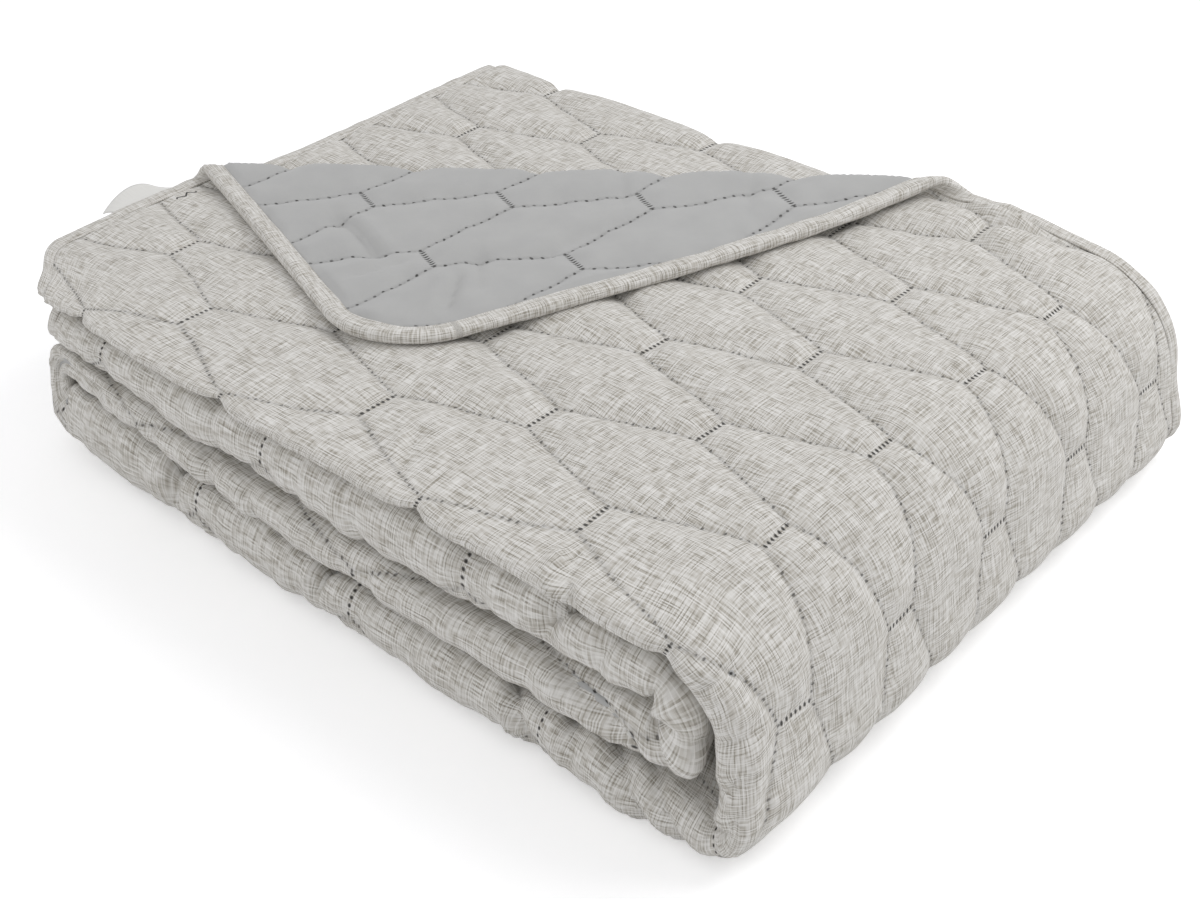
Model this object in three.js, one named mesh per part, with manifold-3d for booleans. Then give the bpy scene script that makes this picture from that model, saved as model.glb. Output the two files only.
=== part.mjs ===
// A quilt, folded in three along its length and then in four across it, with the corner of
// its top layer turned back over itself. Millimetres, +Z up, lying on the plane z = 0.
//
// The quilt is worked out flat first, as it is sewn: s runs along its length from the end
// that lies uppermost, t runs across it from the side whose edge lies on top, and m is the
// height above the middle of its thickness, towards the face. lay(s, t, m) folds that flat
// point into the bundle, and every solid below is made of points that lay() has placed.

import * as THREE from 'three';
import { mergeVertices } from 'three/addons/utils/BufferGeometryUtils.js';
import Module from 'manifold-3d';

// ---- The quilt, flat ------------------------------------------------------------------
const QUILT_LENGTH = 2462;
const QUILT_WIDTH = 1500;
const CORNER_RADIUS = 66;
const SHEET = 10.5;              // face, wadding and reverse between two folded neighbours
const EDGE_SHEET = 3.6;          // the same, pressed flat inside the binding
const EDGE_FLAT = 13;            // how far in from the edge it stays pressed
const EDGE_FULL = 27;            // how far in it is back to its full thickness

// ---- The edge binding: one strip folded over the raw edge ------------------------------
const BINDING_DEPTH = 13;        // on the face, and the same on the reverse
const BINDING_THICK = 6.8;       // over both its sides
const BINDING_CLOTH = 1;
const SEAM_GAP = 0.4;            // between the pressed quilt and the strip on either side
const RAW_GAP = 1.6;             // between the raw edge and the strip's fold
const CLEARANCE = 0.32;          // least distance between the panel and the strip

// ---- The folded bundle -----------------------------------------------------------------
const LAYER = 12;                // height of one layer, with the air that it traps
const ROLL = 3 * LAYER;          // height of the quilt once it is folded in three
const FRONT = -270;              // foremost point of the long fold, y
const BACK = 242;                // rearmost point of the other long fold, y
const TOP_EDGE = 251;            // side edge of the uppermost layer, y
const FREE_END = -325;           // ends of the two upper rolls, x
const RIGHT = 316;               // outside of the great bend, x
const LEFT_BEND = -318;          // outside of the bend between the two lower rolls, x
const BEND_CLEARANCE = 1;        // between the inner bend and the great bend round it
const ALONG_MARKS = [-265, -195, -95, 20, 130, 220];   // x where every run has points
const ACROSS_MARKS = [-209, -130, 0, 150];             // y where every layer has points
const SHOULDER = 54;             // radius of the great bend's upper half, at its middle
const FOOT = 21;                 // radius of its lower half, which the weight presses tight

// ---- The turned-back corner -------------------------------------------------------------
const TURN_ALONG = 480;          // where its fold meets the side edge, along s
const TURN_ACROSS = 343;         // where its fold meets the end edge, across t
const CURL_RADIUS = LAYER / 2;   // of the fold, at the middle of the sheet
const CURL_LOOSE = 3;            // how much wider the curl is where it meets the side edge
const FLAP_RELAX = 60;           // how far from the fold the corner settles on what is under it
const FLAP_SHEAR = 0.05;         // the corner's drift back along its own fold
const FLAP_BOW = 8;              // how far the slack lets its long side bow out
const ROOT = 3;                  // how far the corner's solid reaches into the top layer
const ROOT_TRIM = 0.4;           // how much thinner that part is, so that it stays inside

// ---- The care label, blank: a tab sewn under the binding at the uppermost end -----------
const LABEL_WIDTH = 54;
const LABEL_START = 347;         // across t
const LABEL_OUT = 28;            // how far it stands out of the edge
const LABEL_IN = 9;              // how far it reaches in under the binding
const LABEL_THICK = 0.8;
const LABEL_RISE = 5;            // how far the middle of its tip stands up
const LABEL_CURL = 13;           // how far its two corners hang below that

// ---- How the neat bundle has settled ----------------------------------------------------
// Heights of the three dips between the rolls, and how far the front of each roll bulges
// past FRONT, at stations along the front. Roll 1 is uppermost.
const SETTLED_FRONT = [
  { x: -330, dip34: 64, dip23: 94, dip12: 127, top: 136, out4: -16, out3: -14, out2: -12, out1: -12 },
  { x: -240, dip34: 64, dip23: 93, dip12: 131, top: 140, out4: -8, out3: -6, out2: -4, out1: -7 },
  { x: -150, dip34: 56, dip23: 89, dip12: 131, top: 142, out4: -5, out3: -2, out2: -1, out1: -2 },
  { x: -60, dip34: 50, dip23: 82, dip12: 130, top: 142, out4: -2, out3: 0, out2: 0, out1: 0 },
  { x: 30, dip34: 45, dip23: 80, dip12: 130, top: 142, out4: 0, out3: 1, out2: 0, out1: 0 },
  { x: 120, dip34: 44, dip23: 76, dip12: 127, top: 141, out4: 2, out3: 1, out2: 0, out1: 0 },
  { x: 200, dip34: 40, dip23: 80, dip12: 125, top: 140, out4: 3, out3: -2, out2: -2, out1: 0 },
  { x: 270, dip34: 37, dip23: 80, dip12: 117, top: 139, out4: 3, out3: -4, out2: -4, out1: 0 },
  { x: 330, dip34: 38, dip23: 74, dip12: 109, top: 139, out4: 4, out3: -4, out2: -5, out1: -4 },
];
const FRONT_REACH = 150;         // how far behind the front the rolls are even again
const BULGE_REACH = 60;          // how far behind the front the bulges die away

// Ends of the rolls at the left: how far each is drawn in at the front corner.
const DRAWN_IN = [
  { z: 0, pull: -4 },
  { z: 20, pull: 8 },
  { z: 36, pull: 16 },
  { z: 72, pull: 24 },
  { z: 90, pull: 34 },
  { z: 108, pull: 38 },
  { z: 126, pull: 48 },
  { z: 143, pull: 39 },
];
const CORNER_REACH = 65;         // how far back along the ends the drawing in is felt
const END_REACH = 150;           // how far in from the ends it is felt

const CROWN = 3;                 // the middle of the top stands this much above its rim
const CROWN_Y = -12;             // where that middle is
const SAG_OUT = 20;              // the great bend's belly, of which about half shows
const SAG_FAR = 5;               // how much more it bellies out at its far end
const SAG_TOP = 90;              // how high the belly reaches
const SAG_LOW = 0.65;            // how low it hangs: 1 halfway up, less lower down
const SHOULDER_DROP = 4;         // the far end of the great bend's top
const FAR_PUFF = 5;              // the long fold at the far left, which nothing lies on
const PRESS_OUT = 12;            // the inner bend's push into the great bend at the front
const DROOP = { x: 262, z: 54, radius: 24, down: 8.5, out: 3 };   // the inner bend's underside
const HUMP = { x: 178, y: 232, radius: 55, rise: 11 };   // where the curl meets the side edge
const ORIGIN = new THREE.Vector3(-11.38, -10.52, 0);      // middle of the settled bundle

// ---- Small tools ------------------------------------------------------------------------
function smooth(from, to, value) {
  return THREE.MathUtils.smoothstep(value, from, to);
}

function lookUp(table, key, at, column) {
  const last = table.length - 1;
  if (at <= table[0][key]) return table[0][column];
  if (at >= table[last][key]) return table[last][column];
  const next = table.findIndex((row) => row[key] > at);
  const low = table[next - 1];
  const high = table[next];
  return THREE.MathUtils.mapLinear(at, low[key], high[key], low[column], high[column]);
}

// ---- Fold in three: t to a place in the section across the strip ------------------------
const frontCentre = FRONT + LAYER + SHEET / 2;
const backCentre = BACK - LAYER / 2 - SHEET / 2;
const acrossTop = TOP_EDGE - frontCentre;
const frontTurn = Math.PI * LAYER;
const acrossUnder = backCentre - frontCentre;
const backTurn = Math.PI * LAYER / 2;
const tFront = acrossTop;
const tUnder = tFront + frontTurn;
const tBack = tUnder + acrossUnder;
const tMiddle = tBack + backTurn;

function acrossStrip(t) {
  if (t < tFront) {
    return { y: TOP_EDGE - t, n: LAYER, outY: 0, outN: 1 };
  }
  if (t < tUnder) {
    const a = (t - tFront) / LAYER;
    return {
      y: frontCentre - LAYER * Math.sin(a),
      n: LAYER * Math.cos(a),
      outY: -Math.sin(a),
      outN: Math.cos(a),
    };
  }
  if (t < tBack) {
    return { y: frontCentre + t - tUnder, n: -LAYER, outY: 0, outN: -1 };
  }
  if (t < tMiddle) {
    const radius = LAYER / 2;
    const a = (t - tBack) / radius;
    return {
      y: backCentre + radius * Math.sin(a),
      n: -radius - radius * Math.cos(a),
      outY: Math.sin(a),
      outN: -Math.cos(a),
    };
  }
  return { y: backCentre - (t - tMiddle), n: 0, outY: 0, outN: 1 };
}

// ---- Fold in four: s to a place on the strip's own path ---------------------------------
// One row for each section, from the uppermost end. face is +1 where the quilt's face is on
// the outside of a bend and -1 where it is inside.
const halfRoll = ROLL / 2;
const sideX = RIGHT - halfRoll;
const greatX = sideX - SHOULDER;
const footX = sideX - FOOT;
const leftX = LEFT_BEND + ROLL;
const innerX = RIGHT - 2 * ROLL - BEND_CLEARANCE;
const topRun = 7 * halfRoll;
const sideTop = topRun - SHOULDER;
const BASE = (LAYER - SHEET) / 2;
const PATH = [
  { run: 'roll 1', x: FREE_END, z: topRun, to: greatX },
  { run: 'shoulder', x: greatX, z: sideTop, radius: SHOULDER, start: 90, turn: -90, face: 1, steps: 4 },
  { run: 'side', x: sideX, z: sideTop, down: 3 * ROLL - SHOULDER - FOOT, steps: 1 },
  { run: 'foot', x: footX, z: halfRoll + FOOT, radius: FOOT, start: 0, turn: -90, face: 1, steps: 3 },
  { run: 'roll 4', x: footX, z: halfRoll, to: leftX },
  { run: 'left bend', x: leftX, z: ROLL, radius: halfRoll, start: -90, turn: -180, face: 1, steps: 4 },
  { run: 'roll 3', x: leftX, z: 3 * halfRoll, to: innerX },
  { run: 'inner', x: innerX, z: 2 * ROLL, radius: halfRoll, start: -90, turn: 180, face: -1, steps: 4 },
  { run: 'roll 2', x: innerX, z: 5 * halfRoll, to: FREE_END },
];
let pathLength = 0;
for (const section of PATH) {
  section.begin = pathLength;
  if (section.radius) {
    section.length = THREE.MathUtils.degToRad(Math.abs(section.turn)) * section.radius;
  } else {
    section.length = section.down ?? Math.abs(section.to - section.x);
  }
  pathLength += section.length;
}
const lastRun = PATH[PATH.length - 1];
lastRun.length += QUILT_LENGTH - pathLength;

function alongPath(s) {
  const section = PATH.find((row) => s <= row.begin + row.length) ?? lastRun;
  const along = s - section.begin;
  if (section.down) return { x: section.x, z: section.z - along, outX: 1, outZ: 0 };
  if (!section.radius) {
    const way = Math.sign(section.to - section.x);
    return { x: section.x + way * along, z: section.z, outX: 0, outZ: way };
  }
  const share = along / section.length;
  const a = THREE.MathUtils.degToRad(section.start + share * section.turn);
  return {
    x: section.x + section.radius * Math.cos(a),
    z: section.z + section.radius * Math.sin(a),
    outX: section.face * Math.cos(a),
    outZ: section.face * Math.sin(a),
  };
}

// ---- The turned-back corner: distances from its fold ------------------------------------
const turnLength = Math.hypot(TURN_ALONG, TURN_ACROSS);
const turnCos = TURN_ALONG / turnLength;
const turnSin = TURN_ACROSS / turnLength;
const cornerU = TURN_ACROSS * turnSin;

// u runs along the fold from the end edge, q runs from the fold towards the quilt's corner.
function toTurn(s, t) {
  const across = TURN_ACROSS - t;
  return {
    u: s * turnCos + across * turnSin,
    q: across * turnCos - s * turnSin,
  };
}

function fromTurn(u, q) {
  return {
    s: u * turnCos - q * turnSin,
    t: TURN_ACROSS - u * turnSin - q * turnCos,
  };
}

function turnedCorner(s, t, m) {
  const { u, q } = toTurn(s, t);
  const loose = CURL_LOOSE * (u / turnLength) ** 3;
  const radius = CURL_RADIUS + loose;
  const curl = Math.PI * radius;
  let alongQ;
  let rise;
  if (q < curl) {
    const a = q / radius;
    alongQ = (radius - m) * Math.sin(a);
    rise = radius - (radius - m) * Math.cos(a);
  } else {
    const past = q - curl;
    const slack = THREE.MathUtils.clamp((u - cornerU) / (turnLength - cornerU), 0, 1);
    const bow = Math.sin(Math.PI * slack);
    alongQ = -past - FLAP_BOW * bow * smooth(0, FLAP_RELAX, past);
    rise = 2 * CURL_RADIUS + 2 * loose * Math.exp(-past / FLAP_RELAX) - m;
  }
  const drift = FLAP_SHEAR * Math.min(0, alongQ);
  const x = FREE_END + (u + drift) * turnCos - alongQ * turnSin;
  const y = TOP_EDGE - TURN_ACROSS + (u + drift) * turnSin + alongQ * turnCos;
  return new THREE.Vector3(x, y, topRun + LAYER - BASE + rise);
}

// ---- The bundle has settled under its own weight ----------------------------------------
const FULL_HEIGHT = 4 * ROLL;

function settledHeight(x, z) {
  const levels = [
    0,
    lookUp(SETTLED_FRONT, 'x', x, 'dip34'),
    lookUp(SETTLED_FRONT, 'x', x, 'dip23'),
    lookUp(SETTLED_FRONT, 'x', x, 'dip12'),
    lookUp(SETTLED_FRONT, 'x', x, 'top'),
  ];
  if (z >= FULL_HEIGHT) return levels[4] + z - FULL_HEIGHT;
  const roll = Math.floor(z / ROLL);
  return THREE.MathUtils.lerp(levels[roll], levels[roll + 1], z / ROLL - roll);
}

function bulge(x, z) {
  const centres = [
    { z: halfRoll, out: lookUp(SETTLED_FRONT, 'x', x, 'out4') },
    { z: 3 * halfRoll, out: lookUp(SETTLED_FRONT, 'x', x, 'out3') },
    { z: 5 * halfRoll, out: lookUp(SETTLED_FRONT, 'x', x, 'out2') },
    { z: topRun, out: lookUp(SETTLED_FRONT, 'x', x, 'out1') },
  ];
  return lookUp(centres, 'z', z, 'out');
}

function settle(point) {
  const { x, y, z } = point;
  if (z <= 0) return point.set(x, y, 0);
  const even = smooth(FRONT, FRONT + FRONT_REACH, y);
  const front = 1 - smooth(FRONT, FRONT + BULGE_REACH, y);
  const corner = 1 - smooth(FRONT, FRONT + CORNER_REACH, y);
  const end = 1 - smooth(FREE_END, FREE_END + END_REACH, x);
  const high = Math.min(1, z / FULL_HEIGHT);
  const crown = Math.cos(Math.PI * x / (2 * RIGHT + ROLL)) * Math.cos(Math.PI * (y - CROWN_Y) / 2 / BACK);
  const right = smooth(RIGHT - 2 * ROLL, RIGHT, x);
  const belly = SAG_OUT + SAG_FAR * smooth(0, BACK, y);
  const up = Math.min(1, z / SAG_TOP) ** SAG_LOW;
  const press = smooth(greatX - 2 * ROLL, sideX - halfRoll, x) * (1 - smooth(sideX - halfRoll, RIGHT, x));
  const near = Math.hypot(x - DROOP.x, z - DROOP.z) / DROOP.radius;
  const droop = front * Math.exp(-near * near) * smooth(0, ROLL, z);
  const away = Math.hypot(x - HUMP.x, y - HUMP.y) / HUMP.radius;
  point.x = x + corner * end * lookUp(DRAWN_IN, 'z', z, 'pull');
  point.x += right * belly * Math.sin(Math.PI * up) * (1 - up);
  point.x += front * PRESS_OUT * press + DROOP.out * droop;
  point.y = y - front * bulge(x, z);
  point.z = THREE.MathUtils.lerp(settledHeight(x, z), z, even);
  point.z += CROWN * high * Math.max(0, crown) - DROOP.down * droop;
  point.z += HUMP.rise * smooth(FULL_HEIGHT - LAYER, FULL_HEIGHT, z) * Math.exp(-away * away);
  point.z += FAR_PUFF * high * smooth(0, BACK, y) * (1 - smooth(-ROLL, greatX, x));
  point.z -= SHOULDER_DROP * high * smooth(greatX - 2 * ROLL, RIGHT, x) * smooth(0, BACK, y);
  return point;
}

// ---- lay: the flat quilt into the bundle ------------------------------------------------
function lay(s, t, m) {
  const onTopLayer = t < tFront && s < PATH[0].length;
  if (onTopLayer && toTurn(Math.max(0, s), t).q > 0) return settle(turnedCorner(s, t, m)).sub(ORIGIN);
  const strip = acrossStrip(t);
  const path = alongPath(s);
  const n = strip.n + m * strip.outN;
  const z = path.z + n * path.outZ - BASE;
  const point = new THREE.Vector3(path.x + n * path.outX, strip.y + m * strip.outY, z);
  return settle(point).sub(ORIGIN);
}

// ---- The flat outline: how far a flat point lies inside it, and how thick the quilt is --
function insideEdge(s, t) {
  const fromEnd = Math.min(s, QUILT_LENGTH - s);
  const fromSide = Math.min(t, QUILT_WIDTH - t);
  if (fromEnd < CORNER_RADIUS && fromSide < CORNER_RADIUS) {
    return CORNER_RADIUS - Math.hypot(CORNER_RADIUS - fromEnd, CORNER_RADIUS - fromSide);
  }
  return Math.min(fromEnd, fromSide);
}

function halfThickness(s, t) {
  const share = smooth(EDGE_FLAT, EDGE_FULL, insideEdge(s, t));
  return THREE.MathUtils.lerp(EDGE_SHEET, SHEET, share) / 2;
}

// ---- Closed solids from rings of points --------------------------------------------------
// rings is a list of closed rings of equal length. The rings are joined in turn, the last to
// the first when the solid is itself a ring, or else each end is closed by the given faces.
// Each four-cornered patch is split along its shorter diagonal.
function solidFromRings(rings, isLoop, endFaces) {
  const count = rings[0].length;
  const points = rings.flat();
  const positions = points.flatMap((point) => [point.x, point.y, point.z]);
  const faces = [];
  const last = isLoop ? rings.length : rings.length - 1;
  for (let i = 0; i < last; i += 1) {
    const here = i * count;
    const next = ((i + 1) % rings.length) * count;
    for (let j = 0; j < count; j += 1) {
      const k = (j + 1) % count;
      const [a, b, c, d] = [here + j, here + k, next + k, next + j];
      const forward = points[a].distanceTo(points[c]) <= points[b].distanceTo(points[d]);
      if (forward) faces.push(a, c, d, a, b, c);
      else faces.push(a, b, d, b, c, d);
    }
  }
  if (!isLoop) {
    const end = (rings.length - 1) * count;
    for (const [a, b, c] of endFaces) {
      faces.push(a, c, b, end + a, end + b, end + c);
    }
  }
  const geometry = new THREE.BufferGeometry();
  geometry.setAttribute('position', new THREE.Float32BufferAttribute(positions, 3));
  geometry.setIndex(faces);
  return mergeVertices(geometry);
}

// A sheet: rows of flat points become its upper and its under side, joined round the edge.
function sheetSolid(rows) {
  const columns = rows[0].length;
  const rings = rows.map((row) => {
    const upper = row.map(({ s, t, top }) => lay(s, t, top));
    const under = row.map(({ s, t, bottom }) => lay(s, t, bottom));
    return [...upper, ...under.reverse()];
  });
  const endFaces = [];
  for (let j = 0; j < columns - 1; j += 1) {
    const across = 2 * columns - 1 - j;
    endFaces.push([j, j + 1, across - 1], [j, across - 1, across]);
  }
  return solidFromRings(rings, false, endFaces);
}

// ---- The quilted panel --------------------------------------------------------------------
const RAW_EDGE = BINDING_CLOTH + RAW_GAP;
const STATION_GAP = 2;                              // least distance between two stations
const MARK_GAP = 6;                                 // and between two columns
const TURN_STEP = 24;                               // last station before the turned corner ends
const CORNER_ROWS = [0, 4, EDGE_FLAT - RAW_EDGE, EDGE_FULL - RAW_EDGE];   // rows round a corner
const FLAP_ROWS = [18, 42, 80, 135];                // past the curl of the turned corner
const CURL_STEPS = 9;                               // rows round that curl
const TIP_INSET = 3.12;                             // from the corner's rounding to its last row
const HALVINGS = 40;                                // of a search for the outline

function spread(from, to, steps) {
  return Array.from({ length: steps }, (_, i) => THREE.MathUtils.lerp(from, to, (i + 1) / steps));
}

// Stations along s: close together round the corners and the bends, and where the corner turns.
function stations() {
  const rounded = [...CORNER_ROWS.map((depth) => RAW_EDGE + depth), CORNER_RADIUS];
  const list = [...rounded];
  for (const section of PATH) {
    const end = section.begin + section.length;
    if (section.steps) list.push(section.begin, ...spread(section.begin, end, section.steps));
    else list.push(...ALONG_MARKS.map((x) => section.begin + Math.abs(x - section.x)));
  }
  list.push(TURN_ALONG - TURN_STEP, TURN_ALONG);
  list.push(...rounded.map((s) => QUILT_LENGTH - s));
  list.sort((a, b) => a - b);
  return list.filter((s, i) => i === 0 || s - list[i - 1] > STATION_GAP);
}

// How far the rounded corners draw the side edges in at this station.
function cornerInset(s) {
  const radius = CORNER_RADIUS - RAW_EDGE;
  const fromEnd = Math.max(0, Math.min(s, QUILT_LENGTH - s) - RAW_EDGE);
  if (fromEnd >= radius) return RAW_EDGE;
  return RAW_EDGE + radius - Math.sqrt(radius ** 2 - (radius - fromEnd) ** 2);
}

function columnsAt(s) {
  const cut = TURN_ACROSS * (1 - s / TURN_ALONG);
  const first = cut > 0 ? cut : cornerInset(s);
  const last = QUILT_WIDTH - cornerInset(s);
  const full = first + EDGE_FULL - RAW_EDGE;
  const marks = ACROSS_MARKS.map((y) => TOP_EDGE - y).reverse();
  const inner = last - EDGE_FULL + RAW_EDGE;
  const kept = marks.map((t) => Math.max(t, full + MARK_GAP));
  const upper = cut > 0 ? spread(full, tFront, marks.length + 1) : [...kept, tFront];
  const middle = ACROSS_MARKS.map((y) => tMiddle + backCentre - y).reverse();
  return [
    first,
    first + EDGE_FLAT - RAW_EDGE,
    full,
    ...upper,
    ...spread(tFront, tUnder, 4),
    ...ACROSS_MARKS.map((y) => tUnder + y - frontCentre),
    tBack,
    ...spread(tBack, tMiddle, 3),
    ...middle.map((t) => Math.min(t, inner - MARK_GAP)),
    inner,
    last - EDGE_FLAT + RAW_EDGE,
    last,
  ];
}

function throughThickness(s, t, trim) {
  const half = halfThickness(s, t) - trim;
  return { s, t, top: half, bottom: -half };
}

function panelBody() {
  return sheetSolid(stations().map((s) => columnsAt(s).map((t) => throughThickness(s, t, 0))));
}

// The turned corner has rows alongside its fold, each from the end edge to the side edge:
// close together where it curls over, then as far as the corner's rounding.
const quiltCorner = toTurn(0, 0);

function turnMarks() {
  const curl = Math.PI * (CURL_RADIUS + CURL_LOOSE);
  const flat = quiltCorner.q - CORNER_RADIUS;
  return [...spread(-ROOT, curl, CURL_STEPS), ...FLAP_ROWS.map((past) => curl + past), flat];
}

function reach(q, start, way, inset) {
  let near = 0;
  let far = turnLength;
  for (let i = 0; i < HALVINGS; i += 1) {
    const middle = (near + far) / 2;
    const { s, t } = fromTurn(start + way * middle, q);
    if (insideEdge(s, t) > inset) near = middle;
    else far = middle;
  }
  return start + way * near;
}

function panelCorner() {
  const lastRow = quiltCorner.q - CORNER_RADIUS * (Math.SQRT2 - 1) - TIP_INSET;
  const marks = [-ROOT, ...turnMarks(), ...spread(lastRow - CORNER_RADIUS / 2, lastRow, 2)];
  const rows = marks.map((q) => {
    const middle = quiltCorner.u;
    const inset = [RAW_EDGE, EDGE_FLAT, EDGE_FULL];
    const left = inset.map((depth) => reach(q, middle, -1, depth));
    const right = inset.map((depth) => reach(q, middle, 1, depth)).reverse();
    const across = [...left, ...spread(left[2], right[0], 4).slice(0, -1), ...right];
    return across.map((u) => {
      const { s, t } = fromTurn(u, q);
      return throughThickness(s, t, q < 0 ? ROOT_TRIM : 0);
    });
  });
  return sheetSolid(rows);
}

// ---- The edge binding -----------------------------------------------------------------------
// The strip's section, or with a clearance the room that the panel has to leave for it.
function bindingSection(clearance) {
  const outer = BINDING_THICK / 2 + clearance;
  const inner = BINDING_THICK / 2 - BINDING_CLOTH - clearance;
  const deep = BINDING_DEPTH + clearance;
  const inside = BINDING_CLOTH + clearance;
  const shoulder = outer - BINDING_CLOTH / 2;
  return [
    { depth: deep, m: inner },
    { depth: inside, m: inner },
    { depth: inside, m: -inner },
    { depth: deep, m: -inner },
    { depth: deep, m: -outer },
    { depth: -clearance, m: -shoulder },
    { depth: -clearance, m: shoulder },
    { depth: deep, m: outer },
  ];
}

// Stations round the whole outline, each with the direction that points into the quilt.
const ARC_GAP = 1;               // least distance from a straight side's station to an arc

function outlineStations() {
  const quarter = CORNER_ROWS.map((depth) => Math.acos(1 - depth / (CORNER_RADIUS - RAW_EDGE)));
  quarter.push(Math.PI / 2);
  const round = (s, t, endS, endT) => quarter.map((a) => {
    const inS = -endS * Math.cos(a);
    const inT = -endT * Math.sin(a);
    return { s: s - CORNER_RADIUS * inS, t: t - CORNER_RADIUS * inT, inS, inT };
  });
  const low = CORNER_RADIUS;
  const farS = QUILT_LENGTH - CORNER_RADIUS;
  const farT = QUILT_WIDTH - CORNER_RADIUS;
  const between = (list, from, to) => list.filter((v) => v > from + ARC_GAP && v < to - ARC_GAP);
  const sTurn = turnMarks().map((q) => (quiltCorner.q - q) / turnSin);
  const tTurn = turnMarks().map((q) => (quiltCorner.q - q) / turnCos);
  const body = stations().filter((s) => s > TURN_ALONG - ROOT);
  const sMarks = between([...body, ...sTurn], low, farS).sort((a, b) => a - b);
  const hidden = between(stations(), low, farS);
  const farMarks = between(columnsAt(QUILT_LENGTH - RAW_EDGE), low, farT);
  const nearMarks = between([...columnsAt(RAW_EDGE), ...tTurn], low, farT);
  nearMarks.sort((a, b) => a - b);
  return [
    ...sMarks.map((s) => ({ s, t: 0, inS: 0, inT: 1 })),
    ...round(farS, low, 1, -1).reverse(),
    ...farMarks.map((t) => ({ s: QUILT_LENGTH, t, inS: -1, inT: 0 })),
    ...round(farS, farT, 1, 1),
    ...hidden.map((s) => ({ s, t: QUILT_WIDTH, inS: 0, inT: -1 })).reverse(),
    ...round(low, farT, -1, 1).reverse(),
    ...nearMarks.map((t) => ({ s: 0, t, inS: 1, inT: 0 })).reverse(),
    ...round(low, low, -1, -1),
  ];
}

function edgeBinding(clearance) {
  const section = bindingSection(clearance);
  const rings = outlineStations().map(({ s, t, inS, inT }) => {
    return section.map(({ depth, m }) => lay(s + depth * inS, t + depth * inT, m));
  });
  return solidFromRings(rings, true);
}

// ---- The blank care label --------------------------------------------------------------------
const LABEL_STEPS = 4;

function careLabel() {
  const under = -BINDING_THICK / 2 - SEAM_GAP;
  const outwards = [-LABEL_OUT, ...spread(-LABEL_OUT, 0, LABEL_STEPS), LABEL_IN];
  const across = [-1, ...spread(-1, 1, LABEL_STEPS)];
  const rows = outwards.map((s) => across.map((side) => {
    const hang = Math.max(0, -s / LABEL_OUT) ** 2;
    const top = under + hang * (LABEL_RISE - LABEL_CURL * side ** 2);
    return { s, t: LABEL_START + LABEL_WIDTH * (1 + side) / 2, top, bottom: top - LABEL_THICK };
  }));
  return sheetSolid(rows);
}

// ---- Joining the turned corner to the panel, and clearing it of the binding -----------------
const wasm = await Module();
wasm.setup();

function toManifold(geometry) {
  const mesh = new wasm.Mesh({
    numProp: 3,
    vertProperties: geometry.attributes.position.array,
    triVerts: Uint32Array.from(geometry.index.array),
  });
  return new wasm.Manifold(mesh);
}

function toGeometry(manifold) {
  const { vertProperties, triVerts } = manifold.getMesh();
  const geometry = new THREE.BufferGeometry();
  geometry.setAttribute('position', new THREE.BufferAttribute(vertProperties, 3));
  geometry.setIndex(new THREE.BufferAttribute(triVerts, 1));
  return geometry;
}

const wholePanel = toManifold(panelBody()).add(toManifold(panelCorner()));
const trimmed = wholePanel.subtract(toManifold(edgeBinding(CLEARANCE))).decompose();
trimmed.sort((a, b) => b.volume() - a.volume());
const panel = toGeometry(trimmed[0]);

// ---- The quilt -------------------------------------------------------------------------------------
const faceCloth = new THREE.MeshStandardMaterial({ color: 0xc3c1bc, roughness: 0.95, metalness: 0 });
const bindingCloth = new THREE.MeshStandardMaterial({ color: 0xb8b6b0, roughness: 0.95, metalness: 0 });
const labelSatin = new THREE.MeshStandardMaterial({ color: 0xf2f2ee, roughness: 0.6, metalness: 0 });

function named(name, geometry, material) {
  const mesh = new THREE.Mesh(geometry, material);
  mesh.name = name;
  return mesh;
}

const quilt = new THREE.Group();
quilt.add(named('quilted_panel', panel, faceCloth));
quilt.add(named('edge_binding', edgeBinding(0), bindingCloth));
quilt.add(named('care_label', careLabel(), labelSatin));

export default quilt;
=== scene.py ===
import bpy
import numpy as np
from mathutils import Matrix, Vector


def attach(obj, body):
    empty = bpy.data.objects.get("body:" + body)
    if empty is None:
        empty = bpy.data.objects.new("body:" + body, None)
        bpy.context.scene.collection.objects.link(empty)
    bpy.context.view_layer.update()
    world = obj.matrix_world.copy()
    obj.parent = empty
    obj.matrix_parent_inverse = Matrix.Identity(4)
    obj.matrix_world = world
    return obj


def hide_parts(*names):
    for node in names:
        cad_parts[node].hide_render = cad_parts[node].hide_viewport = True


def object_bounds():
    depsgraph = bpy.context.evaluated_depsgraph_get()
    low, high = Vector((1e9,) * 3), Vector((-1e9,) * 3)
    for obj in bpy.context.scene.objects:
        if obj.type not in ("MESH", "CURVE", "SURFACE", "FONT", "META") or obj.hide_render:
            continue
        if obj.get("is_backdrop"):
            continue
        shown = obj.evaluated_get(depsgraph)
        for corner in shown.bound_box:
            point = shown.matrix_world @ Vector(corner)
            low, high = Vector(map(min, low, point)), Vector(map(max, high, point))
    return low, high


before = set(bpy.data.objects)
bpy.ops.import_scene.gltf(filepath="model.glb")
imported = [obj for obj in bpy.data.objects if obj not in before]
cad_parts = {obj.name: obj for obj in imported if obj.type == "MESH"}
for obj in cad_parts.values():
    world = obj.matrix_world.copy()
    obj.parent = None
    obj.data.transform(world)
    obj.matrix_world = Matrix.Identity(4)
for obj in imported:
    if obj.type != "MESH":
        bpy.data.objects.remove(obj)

cad_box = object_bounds()
scene = bpy.context.scene


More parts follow.
